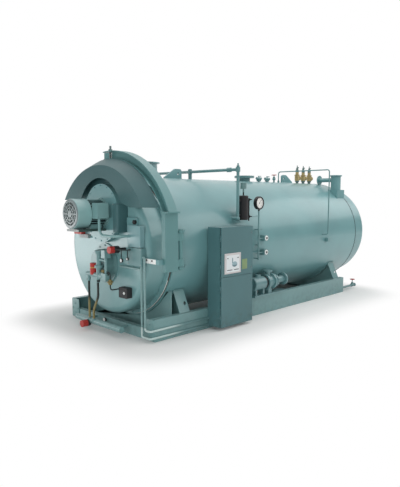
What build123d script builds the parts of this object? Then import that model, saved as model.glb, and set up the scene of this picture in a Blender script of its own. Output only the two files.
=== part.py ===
from build123d import *
import os
from math import cos, radians, sin, sqrt

# A horizontal fire-tube packaged boiler on a skid, with a davit-hung front head that carries
# the burner and its fan, a control cabinet, and the fittings on its crown and right side.
# Frame in millimetres: origin under the front crossmember, +Y to the rear, +Z up,
# +X to the side that carries the cabinet.

# Pressure vessel
SHELL_R = 1068.0
SHELL_WALL = 50.0
SHELL_LENGTH = 5245.0
SHELL_CLEARANCE = 157.0
AXIS_Z = SHELL_CLEARANCE + SHELL_R
CROWN_Z = AXIS_Z + SHELL_R
TUBESHEET_Y = 331.0
TUBESHEET_T = 24.0
SHELL_Y = TUBESHEET_Y + TUBESHEET_T
SHELL_END_Y = SHELL_Y + SHELL_LENGTH
FLANGE_SETBACK = 28.0
FLANGE_R = SHELL_R - FLANGE_SETBACK
HEAD_SETBACK = 83.0
HEAD_R = SHELL_R - HEAD_SETBACK
FURNACE_R = 425.0
FURNACE_WALL = 16.0
FURNACE_DROP = 225.0
FURNACE_Z = AXIS_Z - FURNACE_DROP
FURNACE_REAR_GAP = 150.0
SEAT = 0.3
CUT_OVERRUN = 200.0

# Rear head
REAR_FLANGE_T = 36.0
REAR_DRUM_LENGTH = 540.0
REAR_KNUCKLE = 90.0
REAR_WALL = 45.0
PLUG_R = 270.0
PLUG_T = 36.0
PLUG_BOSS_R = 70.0

# Skid
RAIL_PROUD = 12.0
RAIL_OUTER_X = SHELL_R + RAIL_PROUD
RAIL_FLANGE = 95.0
RAIL_H = 310.0
RAIL_WEB = 12.0
RAIL_FLANGE_T = 16.0
RAIL_FRONT_Y = -16.0
RAIL_SHORT = 500.0
RAIL_END_Y = SHELL_END_Y - RAIL_SHORT
TIE_HOLE_R = 11.0
TIE_INSET_Y = 120.0
TIE_INSET_X = 45.0
BEAM_H = 150.0
BEAM_W = 90.0
BEAM_WALL = 12.0

# Saddles
SADDLE_FRONT = 235.0
SADDLE_REAR = 720.0
SADDLE_WEB_T = 16.0
SADDLE_PLATE_W = 200.0
SADDLE_PLATE_T = 16.0
SADDLE_WRAP = 56.4
SADDLE_SINK = 11.0
SADDLE_FOOT_INSET = 50.0
SADDLE_LOW_Z = 60.0
SADDLE_HOLE_R = 26.0
SADDLE_HOLE_RISE = 120.0
WEAR_T = 16.0

# Front head, a cup closed towards the burner
DOOR_GASKET = 5.0
DOOR_FLANGE_T = 25.0
DOOR_FACE_Y = -57.0
DOOR_KNUCKLE = 95.0
DOOR_WALL = 40.0
DOOR_BACK_Y = TUBESHEET_Y - DOOR_GASKET

# Air hood over the fan
HOOD_LIFT = 47.0
HOOD_PROUD = 108.0
HOOD_FLARE = 103.0
HOOD_STANDOFF = 120.0
HOOD_LAP = 72.0
HOOD_WALL = 10.0
HOOD_LEFT_RISE = 713.0
HOOD_RIGHT_RISE = 617.0
HOOD_STEP_X = 420.0
HOOD_STEP_W = 340.0
HOOD_MOUTH_R = 549.0
HOOD_MOUTH_DROP = 35.0
HOOD_AXIS_Z = AXIS_Z + HOOD_LIFT
HOOD_FRONT_R = SHELL_R + HOOD_PROUD
HOOD_BACK_R = HOOD_FRONT_R + HOOD_FLARE
HOOD_FRONT_Y = DOOR_FACE_Y - HOOD_STANDOFF
HOOD_BACK_Y = DOOR_FACE_Y + HOOD_LAP
HOOD_LEFT_Z = AXIS_Z + HOOD_LEFT_RISE
HOOD_RIGHT_Z = AXIS_Z + HOOD_RIGHT_RISE

# Davit
PIN_OFFSET = 194.0
PIN_SETBACK = 31.0
PIN_R = 30.0
PIN_RUNNING = 0.05
PIN_PROUD = 18.0
PIN_TAIL = 15.0
KNUCKLE_R = 48.0
KNUCKLE_H = 100.0
KNUCKLE_GAP = 5.0
LUG_T = 30.0
LUG_DROP = 220.0
LUG_RISE = 275.0
LUG_ROOT_DEPTH = 150.0
LUG_ROOT_W = 120.0
POST_W = 75.0
POST_D = 225.0
POST_INSET = 47.0
POST_GAP = 75.0
POST_TAIL = 20.0
POST_RISE = 565.0
POST_CAP_T = 20.0
POST_FOOT_T = 18.0
POST_WALL = 12.0
ARM_RISE = 390.0
ARM_DROP = 13.0
ARM_DEPTH = 128.0
ARM_FLANGE = 150.0
ARM_FLANGE_T = 14.0
ARM_WEB_T = 14.0
ARM_CLEAR = 10.0
ARM_OVERHANG = 90.0
ARM_COPE = 50.0
BOLT_X = -75.0
BOLT_R = 16.0
BOLT_PROUD = 77.0
BOLT_NUT_R = 30.0
BOLT_NUT_H = 26.0
BOLT_NUT_LIFT = 4.0
BOLT_PAD_R = 60.0
PIN_X = SHELL_R + PIN_OFFSET
PIN_Y = TUBESHEET_Y - PIN_SETBACK
LUG_LOW_Z = AXIS_Z - LUG_DROP
LUG_HIGH_Z = AXIS_Z + LUG_RISE
POST_X = PIN_X - POST_INSET
POST_Y = PIN_Y - POST_GAP - POST_D
POST_LOW_Z = LUG_LOW_Z - POST_TAIL
POST_CAP_Z = AXIS_Z + POST_RISE
ARM_R = SHELL_R + ARM_RISE
ARM_AXIS_Z = AXIS_Z - ARM_DROP
ARM_Y = HOOD_BACK_Y + ARM_CLEAR
BOLT_TOP_Z = ARM_AXIS_Z + ARM_R + BOLT_PROUD

# Fan and motor, on one axis
FAN_X = 20.0
FAN_RISE = 522.0
FAN_R = 430.0
FAN_D = 93.0
FAN_WALL = 14.0
MOTOR_R = 176.0
MOTOR_FIN_R = 200.0
MOTOR_FIN_T = 7.0
MOTOR_FINS = 28
MOTOR_L = 284.0
MOTOR_FLANGE_R = 225.0
MOTOR_FLANGE_T = 22.0
MOTOR_BASE_W = 320.0
MOTOR_BASE_T = 30.0
MOTOR_BASE_GAP = 5.0
MOTOR_BASE_SETBACK = 40.0
MOTOR_FOOT_W = 220.0
COWL_R = 213.0
COWL_L = 227.0
COWL_WALL = 6.0
COWL_EDGE_R = 24.0
GUARD_RINGS = 4
GUARD_BARS = 4
TERMINAL_W = 130.0
TERMINAL_L = 178.0
TERMINAL_DROP = 65.0
TERMINAL_H = 218.0
CONDUIT_R = 20.0
CONDUIT_BEND = 100.0
CONDUIT_INSET = 63.0
FAN_Z = AXIS_Z + FAN_RISE
FAN_FRONT_Y = DOOR_FACE_Y - FAN_D
MOTOR_FRONT_Y = FAN_FRONT_Y - MOTOR_L
COWL_FRONT_Y = MOTOR_FRONT_Y - COWL_L

# Burner and the fittings on the front head
FAN_GAP = 17.0
BURNER_PLATE_T = 22.0
BURNER_BODY_R = 215.0
BURNER_D = 143.0
SHELF_LAP = 14.0
SHELF_W = 120.0
SHELF_D = 184.0
SHELF_DROP = 259.0
SHELF_H = 402.0
PANEL_GAP = 19.0
PANEL_W = 225.0
PANEL_T = 34.0
PANEL_RISE = 75.0
PANEL_H = 400.0
BOX_SHIFT = 65.0
BOX_GAP = 10.0
BOX_W = 310.0
BOX_T = 80.0
BOX_H = 245.0
CORNER_R = 14.0
SCANNER_X = 440.0
SCANNER_W = 190.0
SCANNER_T = 95.0
SCANNER_DROP = 670.0
SCANNER_H = 150.0
DAMPER_X = -780.0
DAMPER_W = 210.0
DAMPER_T = 75.0
DAMPER_RISE = 180.0
DAMPER_H = 56.0
LINK_X = -660.0
LINK_W = 240.0
LINK_T = 50.0
LINK_H = 55.0
BURNER_Z = FURNACE_Z
BURNER_FRONT_Y = DOOR_FACE_Y - BURNER_D
BURNER_PLATE_R = FAN_Z - FAN_R - FAN_GAP - BURNER_Z
SHELF_X = FAN_X + FAN_R - SHELF_LAP
SHELF_LOW_Z = FAN_Z - SHELF_DROP
PANEL_X = SHELF_X + SHELF_W + PANEL_GAP
PANEL_LOW_Z = AXIS_Z + PANEL_RISE
BOX_X = PANEL_X + BOX_SHIFT
BOX_HIGH_Z = PANEL_LOW_Z - BOX_GAP
BOX_LOW_Z = BOX_HIGH_Z - BOX_H
SCANNER_LOW_Z = AXIS_Z - SCANNER_DROP

# Gas train on the burner's front
TRAIN_STANDOFF = 70.0
RISER_X = 120.0
RISER_R = 38.0
RISER_LOW = 200.0
RISER_HIGH = 170.0
RISER_FLANGE_R = 61.0
RISER_FLANGE_T = 40.0
INLET_R = 46.0
INLET_RISE = 80.0
RUN_R = 34.0
RUN_DROP = 150.0
RUN_LEFT_X = -190.0
RUN_RIGHT_X = 330.0
RUN_COLLAR_R = 56.0
RUN_COLLAR_X = 180.0
RUN_COLLAR_W = 70.0
GOVERNOR_X = 305.0
GOVERNOR_W = 110.0
GOVERNOR_D = 100.0
PILOT_R = 22.0
PILOT_BOX_W = 90.0
PILOT_BOX_H = 110.0
PILOT_BOX_RISE = 120.0
CROSSOVER_R = 20.0
MOTOR_VALVE_X = -22.0
MOTOR_VALVE_R = 50.0
MOTOR_VALVE_H = 167.0
SWITCH_CAP_X = 480.0
SWITCH_CAP_R = 50.0
SWITCH_CAP_RISE = 250.0
SWITCH_CAP_L = 155.0
SWITCH_STEM_L = 123.0
SWITCH_STEM_R = 20.0
DROP_LINE_R = 17.0
DROP_LINE_TOP = 258.0
DROP_STUB_R = 26.0
DROP_TOP_XS = (-150.0, 90.0)
DROP_FOOT_X = -35.0
CRANK_HIGH = 0.62
CRANK_LOW = 0.22
CRANK_BEND = 0.27

# Control cabinet
CABINET_D = 249.0
CABINET_W = 721.0
CABINET_Y = 1016.0
CABINET_LOW_Z = 50.0
CABINET_HIGH_Z = 1540.0
CABINET_WALL = 5.0
CABINET_SPLIT_Z = 800.0
LEAF_T = 20.0
LEAF_GAP = 5.0
LEAF_HOLLOW = 14.0
LEAF_RIM = 18.0
HINGE_PIN_R = 5.0
HINGE_RUNNING = 0.05
HINGE_BARREL_R = 9.0
HINGE_FORWARD = 12.0
HINGE_H = 60.0
HINGE_INSET = 130.0
HINGE_TAB_T = 18.0
HINGE_TAB_REACH = 36.0
HINGE_LIFT = 2.0
PLATE_T = 4.0
PLATE_STANDOFF = 12.0
PLATE_INSET = 40.0
SCREEN_INSET = 69.0
SCREEN_RISE = 46.0
SCREEN_W = 364.0
SCREEN_H = 306.0
SCREEN_T = 8.0

# Crown fittings
FLUE_INSET = 285.0
FLUE_R = 235.0
FLUE_FLANGE_R = 275.0
FLUE_FLANGE_T = 16.0
FLUE_RISE = 232.0
FLUE_WALL = 8.0
FLUE_PITCH_R = 255.0
FLUE_HOLES = 16
FLUE_HOLE_R = 7.0
STEAM_INSET = 2470.0
STEAM_PIPE_R = 109.5
STEAM_BORE_R = 96.0
STEAM_FLANGE_R = 190.5
STEAM_FLANGE_T = 41.0
STEAM_RISE = 102.0
STEAM_PITCH_R = 165.1
STEAM_HOLES = 12
STEAM_HOLE_R = 12.7
EYE_PLATE_T = 30.0
EYE_PLATE_L = 380.0
EYE_PEAK = 162.0
EYE_HEEL = 17.0
EYE_R = 26.0
EYE_DROP = 75.0
EYE_ROUND = 45.0
FRONT_EYE_INSET = 734.0
REAR_EYE_INSET = 880.0
VALVE_INSETS = (675.0, 440.0, 198.0)
VALVE_NIPPLE_R = 30.0
VALVE_NIPPLE_H = 60.0
VALVE_HEX_R = 46.0
VALVE_BODY_R = 52.0
VALVE_BODY_H = 105.0
VALVE_OUTLET_R = 34.0
VALVE_OUTLET_L = 92.0
VALVE_LIP_R = 44.0
VALVE_LIP_T = 22.0
VALVE_RIM_R = 60.0
VALVE_RIM_T = 20.0
VALVE_BONNET_R = 36.0
VALVE_BONNET_H = 105.0
VALVE_CAP_R = 24.0
VALVE_CAP_H = 40.0
VALVE_STEM_R = 9.0
VALVE_STEM_H = 55.0
VALVE_LEVER_W = 20.0
VALVE_LEVER_L = 50.0
VALVE_LEVER_H = 21.0
COCK_INSETS = (2020.0, 1750.0)
COCK_NECK_R = 22.0
COCK_COLLAR_R = 46.0
COCK_COLLAR_T = 30.0
COCK_RISE = 66.0
COCK_BODY_R = 26.0
COCK_BODY_L = 140.0
COCK_STEM_R = 12.0
COCK_STEM_H = 46.0
COCK_LEVER_L = 66.0
COCK_LEVER_T = 12.0
STOP_INSET = 1516.0
STOP_RISE = 69.0
STOP_BODY_R = 34.0
STOP_BONNET_R = 23.8
STOP_BONNET_H = 47.6
STOP_STEM_RISE = 81.6
WHEEL_R = 52.0
WHEEL_RIM_R = 7.0
WHEEL_HUB_R = 15.0
WHEEL_HUB_H = 18.0
WHEEL_SPOKES = 4
STEM_R = 8.0
STEM_RUNNING = 0.05
STUB_INSET = 160.0
STUB_IN_X = 418.0
STUB_R = 105.0
STUB_FLANGE_R = 132.0
STUB_FLANGE_T = 20.0
STUB_RISE = 167.0
STUB_WALL = 10.0
SHOULDER_W = 250.0
SHOULDER_L = 300.0
SHOULDER_DROP = 148.0
BRANCH_R = 45.0
BRANCH_FLANGE_R = 100.0
BRANCH_REACH = 414.0
BRANCH_RISE = 69.0

# Right-hand trim
CROSS_Y = 1680.0
CROSS_RISE = 123.0
CROSS_OUT = 22.0
CROSS_R = 24.0
CROSS_LOW_RISE = 425.0
CROSS_UNION_INSET = 150.0
CROSS_UNION_L = 70.0
COLUMN_Y = 1815.0
COLUMN_R = 80.0
COLUMN_RISE = 395.0
COLUMN_H = 390.0
COLUMN_EDGE_R = 20.0
BOWL_R = 48.0
BOWL_GAP = 103.0
BOWL_H = 95.0
GLASS_Y = 1955.0
GLASS_R = 10.0
GLASS_FOOT = 52.0
GLASS_HEAD = 64.0
GAUGE_OUT = 57.0
GAUGE_Y = 2170.0
GAUGE_RISE = 663.0
GAUGE_R = 108.0
GAUGE_T = 56.0
STAND_R = 13.0
STAND_DROP = 280.0
CLIP_RISES = (223.0, -29.0, -257.0)
SWITCH_RISES = (76.0, -162.0)
SWITCH_Y = 2350.0
SWITCH_W = 100.0
SWITCH_H = 96.0
SWITCH_OUT = 82.0
SWITCH_LINE_OUT = 27.0
SWITCH_LINE_R = 8.0
SENSE_INSET = 1360.0
SENSE_OUT = 127.0
SENSE_R = 11.0
SENSE_BEND = 44.0
SENSE_RISE = 219.0
SENSE_LOW_RISE = 37.0
SENSE_BOSS_H = 40.0
SENSOR_SHIFT = 120.0
SENSOR_W = 70.0
SENSOR_DROP = 150.0
SENSOR_OUT = 60.0
CROSS_Z = CROWN_Z + CROSS_RISE
CROSS_X = SHELL_R + CROSS_OUT
CROSS_LOW_Z = AXIS_Z + CROSS_LOW_RISE
COLUMN_LOW_Z = AXIS_Z + COLUMN_RISE
COLUMN_HIGH_Z = COLUMN_LOW_Z + COLUMN_H
GLASS_LOW_Z = COLUMN_LOW_Z + GLASS_FOOT
GLASS_HIGH_Z = COLUMN_HIGH_Z - GLASS_HEAD
GAUGE_X = SHELL_R + GAUGE_OUT
GAUGE_Z = AXIS_Z + GAUGE_RISE

# Feed pump, on the right rail
PUMP_INSET = 35.0
PUMP_RISE = 220.0
PUMP_Y = 2090.0
PUMP_MOTOR_R = 112.0
PUMP_MOTOR_L = 340.0
PUMP_MOTOR_EDGE = 22.0
PUMP_BOX_R = 50.0
PUMP_BOX_H = 40.0
PUMP_BED_W = 170.0
PUMP_BED_T = 30.0
PUMP_BED_L = 900.0
PUMP_FOOT_W = 112.0
PUMP_FOOT_T = 40.0
PUMP_FOOT_INSET = 50.0
PUMP_CASE_R = 110.0
PUMP_CASE_L = 210.0
PUMP_RING_R = 140.0
PUMP_RING_T = 40.0
PUMP_CRADLE_L = 90.0
PUMP_NECK_R = 62.0
PUMP_FLANGE_R = 110.0
PUMP_FLANGE_T = 30.0
PUMP_FLANGE_GAP = 60.0
PUMP_BRANCH_R = 45.0
PUMP_BRANCH_RISE = 60.0
PUMP_BRANCH_FLANGE_R = 80.0
PUMP_BRANCH_FLANGE_T = 24.0
PUMP_X = RAIL_OUTER_X - PUMP_INSET
PUMP_Z = RAIL_H + PUMP_RISE

# Blowdown line behind the right rail
BLOW_INSET = 50.0
BLOW_Z = 78.0
BLOW_R = 24.0
BLOW_LAP = 120.0
BLOW_REACH = 580.0
BLOW_VALVE_INSET = 95.0
BLOW_CLAMP_W = 48.0
BLOW_COLLAR_R = 38.0
BLOW_BODY_R = 34.0
BLOW_BODY_L = 96.0
BLOW_WHEEL_RISE = 127.0

# Lines at the front
HEADER_Y = -250.0
HEADER_Z = 132.0
HEADER_R = 45.0
HEADER_ROUND = 0.9
HEADER_LEFT_X = -560.0
HEADER_RIGHT_X = 640.0
STAY_R = 17.0
STAY_DROP = 17.0
STAY_INSET = 200.0
UNION_R = 30.0
UNION_RISE = 3.0
UNION_GAP = 5.0
HEADER_CAP_X = -160.0
HEADER_CAP_DROP = 30.0
HEADER_CAP_R = 52.0
HEADER_CAP_L = 110.0
DIAL_X = -95.0
DIAL_Z = 112.0
DIAL_R = 32.0
DIAL_T = 26.0
DIAL_STEM_R = 9.0
DIAL_STEM_L = 14.0
DROP_INSET = 35.0
DROP_OUT = 53.0
DROP_R = 15.0
DROP_LOW_Z = 205.0
DROP_GAP = 5.0
DROP_BEND = 18.0
FEED_X = 430.0
FEED_DROP = 45.0
RUN_LOW_Z = 62.0
RUN_HIGH_Z = 165.0
RUN_BEND = 30.0

ON_BASE = (Align.CENTER, Align.CENTER, Align.MIN)


def crown_z(x, radius=SHELL_R):
    """Height of a drum's upper skin at a given distance from its centre plane."""
    return AXIS_Z + sqrt(radius**2 - x**2)


def block(x, y, z, mode=Mode.ADD):
    """A box given by its low and high limits along each axis."""
    with Locations(((x[0] + x[1]) / 2, (y[0] + y[1]) / 2, (z[0] + z[1]) / 2)):
        Box(x[1] - x[0], y[1] - y[0], z[1] - z[0], mode=mode)


def upright(x, y, z, radius, mode=Mode.ADD):
    """A vertical round bar between two heights."""
    with Locations((x, y, z[0])):
        Cylinder(radius, z[1] - z[0], align=ON_BASE, mode=mode)


def crosswise(x, y, z, radius, mode=Mode.ADD):
    """A round bar along X between two places."""
    with Locations(Location((x[0], y, z), (0, 90, 0))):
        Cylinder(radius, x[1] - x[0], align=ON_BASE, mode=mode)


def lengthwise(x, y, z, radius, mode=Mode.ADD):
    """A round bar along Y between two places."""
    with Locations(Location((x, y[0], z), (-90, 0, 0))):
        Cylinder(radius, y[1] - y[0], align=ON_BASE, mode=mode)


def seat_on_shell():
    """Cut a piece back to the jacket's skin, so that it seats on the curve."""
    span = (SHELL_Y - CUT_OVERRUN, SHELL_END_Y + CUT_OVERRUN)
    lengthwise(0, span, AXIS_Z, SHELL_R + SEAT, Mode.SUBTRACT)


def bent_tube(points, radius, bend):
    """A tube of straight runs joined by bends."""
    with BuildPart() as tube:
        with BuildLine() as route:
            FilletPolyline(*points, radius=bend)
        with BuildSketch(Plane(route.line @ 0, z_dir=route.line % 0)):
            Circle(radius)
        sweep(path=route.line)
    return tube.part


def save(piece, name):
    """Name a finished piece and write it out."""
    piece.label = name
    export_step(piece, f"parts/{name}.step")


os.makedirs("parts", exist_ok=True)

# Insulated jacket round the pressure shell
with BuildPart() as shell_jacket:
    lengthwise(0, (SHELL_Y, SHELL_END_Y), AXIS_Z, SHELL_R)
    lengthwise(0, (SHELL_Y, SHELL_END_Y), AXIS_Z, SHELL_R - SHELL_WALL, Mode.SUBTRACT)
save(shell_jacket.part, "shell_jacket")

# Front tubesheet, with the furnace mouth
with BuildPart() as front_tubesheet:
    lengthwise(0, (TUBESHEET_Y, SHELL_Y), AXIS_Z, FLANGE_R)
    lengthwise(0, (TUBESHEET_Y, SHELL_Y), FURNACE_Z, FURNACE_R + SEAT, Mode.SUBTRACT)
save(front_tubesheet.part, "front_tubesheet")

# Furnace tube, closed at its far end
FURNACE_END_Y = SHELL_END_Y - FURNACE_REAR_GAP
with BuildPart() as furnace:
    lengthwise(0, (TUBESHEET_Y, FURNACE_END_Y), FURNACE_Z, FURNACE_R)
    bore = (TUBESHEET_Y, FURNACE_END_Y - FURNACE_WALL)
    lengthwise(0, bore, FURNACE_Z, FURNACE_R - FURNACE_WALL, Mode.SUBTRACT)
save(furnace.part, "furnace")

# Rear head, a cup bolted to the shell by its flange, with a round access plug
REAR_END_Y = SHELL_END_Y + REAR_DRUM_LENGTH
with BuildPart() as rear_head:
    lengthwise(0, (SHELL_END_Y, REAR_END_Y), AXIS_Z, HEAD_R)
    fillet(rear_head.edges().group_by(Axis.Y)[-1], radius=REAR_KNUCKLE)
    lengthwise(0, (SHELL_END_Y, SHELL_END_Y + REAR_FLANGE_T), AXIS_Z, FLANGE_R)
    lengthwise(0, (SHELL_END_Y, REAR_END_Y - REAR_WALL), AXIS_Z, HEAD_R - REAR_WALL, Mode.SUBTRACT)
    lengthwise(0, (REAR_END_Y, REAR_END_Y + PLUG_T), FURNACE_Z, PLUG_R)
    lengthwise(0, (REAR_END_Y, REAR_END_Y + 2 * PLUG_T), FURNACE_Z, PLUG_BOSS_R)
save(rear_head.part, "rear_head")


# Skid rails, channels with their webs outside
def base_rail(side):
    """One channel of the skid, with a tie-down hole near each end of its lower flange."""
    with BuildPart() as rail:
        with BuildSketch(Plane.XZ.offset(-RAIL_FRONT_Y)):
            with Locations((side * (RAIL_OUTER_X - RAIL_FLANGE / 2), RAIL_H / 2)):
                Rectangle(RAIL_FLANGE, RAIL_H)
            with Locations((side * (RAIL_OUTER_X - RAIL_WEB - RAIL_FLANGE / 2), RAIL_H / 2)):
                Rectangle(RAIL_FLANGE, RAIL_H - 2 * RAIL_FLANGE_T, mode=Mode.SUBTRACT)
        extrude(amount=RAIL_FRONT_Y - RAIL_END_Y)
        for y in (RAIL_FRONT_Y + TIE_INSET_Y, RAIL_END_Y - TIE_INSET_Y):
            upright(side * (RAIL_OUTER_X - TIE_INSET_X), y, (0, RAIL_FLANGE_T), TIE_HOLE_R, Mode.SUBTRACT)
    return rail.part


save(base_rail(1), "base_rail_right")
save(base_rail(-1), "base_rail_left")

# Crossmembers, channels that tie the rails at both ends of the skid
BEAM_X = RAIL_OUTER_X - RAIL_FLANGE


def crossmember(y, opening):
    """A channel between the rails, its flanges pointing into the skid."""
    with BuildPart() as beam:
        block((-BEAM_X, BEAM_X), (y, y + BEAM_W), (0, BEAM_H))
        hollow = (y + BEAM_WALL, y + BEAM_W) if opening > 0 else (y, y + BEAM_W - BEAM_WALL)
        block((-BEAM_X, BEAM_X), hollow, (BEAM_WALL, BEAM_H - BEAM_WALL), Mode.SUBTRACT)
    return beam.part


save(crossmember(RAIL_FRONT_Y, 1), "front_crossmember")
save(crossmember(RAIL_END_Y - BEAM_W, -1), "rear_crossmember")

# Saddles, a web cut to the shell with a wear plate above and a sloping plate at each end
SADDLE_FOOT_X = RAIL_OUTER_X - SADDLE_FOOT_INSET
SADDLE_TOP_X = (SHELL_R - SADDLE_SINK) * sin(radians(SADDLE_WRAP))
SADDLE_TOP_Z = AXIS_Z - (SHELL_R - SADDLE_SINK) * cos(radians(SADDLE_WRAP))


def saddle(y):
    """One saddle, standing on the rails and reaching down between them."""
    wear_r = SHELL_R + SEAT + WEAR_T
    hole_z = RAIL_H + SADDLE_HOLE_RISE
    with BuildPart() as frame:
        with BuildSketch(Plane.XZ.offset(-(y - SADDLE_WEB_T / 2))):
            with BuildLine():
                Polyline(
                    (-BEAM_X + SEAT, SADDLE_LOW_Z),
                    (BEAM_X - SEAT, SADDLE_LOW_Z),
                    (BEAM_X - SEAT, RAIL_H),
                    (SADDLE_FOOT_X, RAIL_H),
                    (SADDLE_TOP_X, SADDLE_TOP_Z),
                    (-SADDLE_TOP_X, SADDLE_TOP_Z),
                    (-SADDLE_FOOT_X, RAIL_H),
                    (-BEAM_X + SEAT, RAIL_H),
                    close=True,
                )
            make_face()
        extrude(amount=-SADDLE_WEB_T)
        with BuildSketch(Plane.XZ.offset(-(y - SADDLE_PLATE_W / 2))):
            for side in (1, -1):
                with BuildLine():
                    Polyline(
                        (side * SADDLE_FOOT_X, RAIL_H),
                        (side * SADDLE_TOP_X, SADDLE_TOP_Z),
                        (side * (SADDLE_TOP_X - SADDLE_PLATE_T), SADDLE_TOP_Z),
                        (side * (SADDLE_FOOT_X - SADDLE_PLATE_T), RAIL_H),
                        close=True,
                    )
                make_face()
            with Locations((0, AXIS_Z)):
                Circle(wear_r)
            with Locations((0, SADDLE_TOP_Z + SHELL_R)):
                Rectangle(3 * SHELL_R, 2 * SHELL_R, mode=Mode.SUBTRACT)
            with Locations((0, AXIS_Z)):
                Circle(SHELL_R + SEAT, mode=Mode.SUBTRACT)
        extrude(amount=-SADDLE_PLATE_W)
        span = (-SADDLE_FOOT_X, SADDLE_FOOT_X)
        crosswise(span, y + SADDLE_PLATE_W / 4, hole_z, SADDLE_HOLE_R, Mode.SUBTRACT)
        seat_on_shell()
    return frame.part


save(saddle(SHELL_Y + SADDLE_FRONT), "front_saddle")
save(saddle(SHELL_END_Y - SADDLE_REAR), "rear_saddle")


# Front head: drum, rounded front edge, bolting flange, open to the tubesheet
def head_form(grow):
    """The head's outside, without its flange, grown all round by an allowance."""
    with BuildPart() as form:
        lengthwise(0, (DOOR_FACE_Y - grow, DOOR_BACK_Y), AXIS_Z, HEAD_R + grow)
        fillet(form.edges().group_by(Axis.Y)[0], radius=DOOR_KNUCKLE + grow)
    return form.part


FACE_Y = DOOR_FACE_Y - SEAT
with BuildPart() as door_drum:
    add(head_form(0))
    lengthwise(0, (DOOR_BACK_Y - DOOR_FLANGE_T, DOOR_BACK_Y), AXIS_Z, FLANGE_R)
    lengthwise(0, (DOOR_FACE_Y + DOOR_WALL, DOOR_BACK_Y), AXIS_Z, HEAD_R - DOOR_WALL, Mode.SUBTRACT)
save(door_drum.part, "door_drum")


def hood_cone(wall):
    """The hood's tapered envelope, drawn in from its outside by a wall."""
    slope = HOOD_FLARE / (HOOD_BACK_Y - HOOD_FRONT_Y)
    inward = wall * sqrt(1 + slope**2)
    with BuildPart() as cone:
        with BuildSketch(Plane.XY.offset(HOOD_AXIS_Z)):
            with BuildLine():
                Polyline(
                    (0, HOOD_FRONT_Y + wall),
                    (HOOD_FRONT_R + slope * wall - inward, HOOD_FRONT_Y + wall),
                    (HOOD_BACK_R - slope * wall - inward, HOOD_BACK_Y - wall),
                    (0, HOOD_BACK_Y - wall),
                    close=True,
                )
            make_face()
        revolve(axis=Axis((0, 0, HOOD_AXIS_Z), (0, 1, 0)))
    return cone.part


# Air hood: a tapered casing over the upper part of the head, open below, with a round mouth
MOUTH_Z = FAN_Z - HOOD_MOUTH_DROP
with BuildPart() as air_hood:
    add(hood_cone(0))
    add(hood_cone(HOOD_WALL), mode=Mode.SUBTRACT)
    with BuildSketch(Plane.XZ.offset(-HOOD_BACK_Y - CUT_OVERRUN)):
        with BuildLine():
            Polyline(
                (-2 * HOOD_BACK_R, -SHELL_R),
                (-2 * HOOD_BACK_R, HOOD_LEFT_Z),
                (HOOD_STEP_X, HOOD_LEFT_Z),
                (HOOD_STEP_X + HOOD_STEP_W, HOOD_RIGHT_Z),
                (2 * HOOD_BACK_R, HOOD_RIGHT_Z),
                (2 * HOOD_BACK_R, -SHELL_R),
                close=True,
            )
        make_face()
    extrude(amount=HOOD_BACK_Y - HOOD_FRONT_Y + 2 * CUT_OVERRUN, mode=Mode.SUBTRACT)
    mouth = (HOOD_FRONT_Y - HOOD_WALL, HOOD_FRONT_Y + 2 * HOOD_WALL)
    lengthwise(FAN_X, mouth, MOUTH_Z, HOOD_MOUTH_R, Mode.SUBTRACT)
    add(head_form(SEAT), mode=Mode.SUBTRACT)
save(air_hood.part, "air_hood")

# Fan casing, a round box on the head's face with the motor's seat in the middle
with BuildPart() as fan_casing:
    lengthwise(FAN_X, (FAN_FRONT_Y, FACE_Y), FAN_Z, FAN_R)
    lengthwise(FAN_X, (FAN_FRONT_Y + FAN_WALL, FACE_Y), FAN_Z, FAN_R - FAN_WALL, Mode.SUBTRACT)
save(fan_casing.part, "fan_casing")

# Finned motor frame with its mounting flange and its base plate below
BASE_TOP_Z = FAN_Z - COWL_R - MOTOR_BASE_GAP
with BuildPart() as motor_frame:
    fin = MOTOR_FIN_R - MOTOR_R + MOTOR_FIN_T
    flange_y = FAN_FRONT_Y - MOTOR_FLANGE_T
    lengthwise(FAN_X, (MOTOR_FRONT_Y, FAN_FRONT_Y), FAN_Z, MOTOR_R)
    with BuildSketch(Plane.XZ.offset(-MOTOR_FRONT_Y)):
        with Locations((FAN_X, FAN_Z)):
            with PolarLocations(MOTOR_FIN_R - fin / 2, MOTOR_FINS):
                Rectangle(fin, MOTOR_FIN_T)
    extrude(amount=MOTOR_FRONT_Y - FAN_FRONT_Y)
    lengthwise(FAN_X, (flange_y, FAN_FRONT_Y), FAN_Z, MOTOR_FLANGE_R)
    block(
        (FAN_X - MOTOR_BASE_W / 2, FAN_X + MOTOR_BASE_W / 2),
        (COWL_FRONT_Y + MOTOR_BASE_SETBACK, flange_y),
        (BASE_TOP_Z - MOTOR_BASE_T, BASE_TOP_Z),
    )
    block(
        (FAN_X - MOTOR_FOOT_W / 2, FAN_X + MOTOR_FOOT_W / 2),
        (MOTOR_FRONT_Y + MOTOR_BASE_SETBACK, flange_y - MOTOR_BASE_SETBACK),
        (BASE_TOP_Z, FAN_Z),
    )
save(motor_frame.part, "motor_frame")

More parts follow.
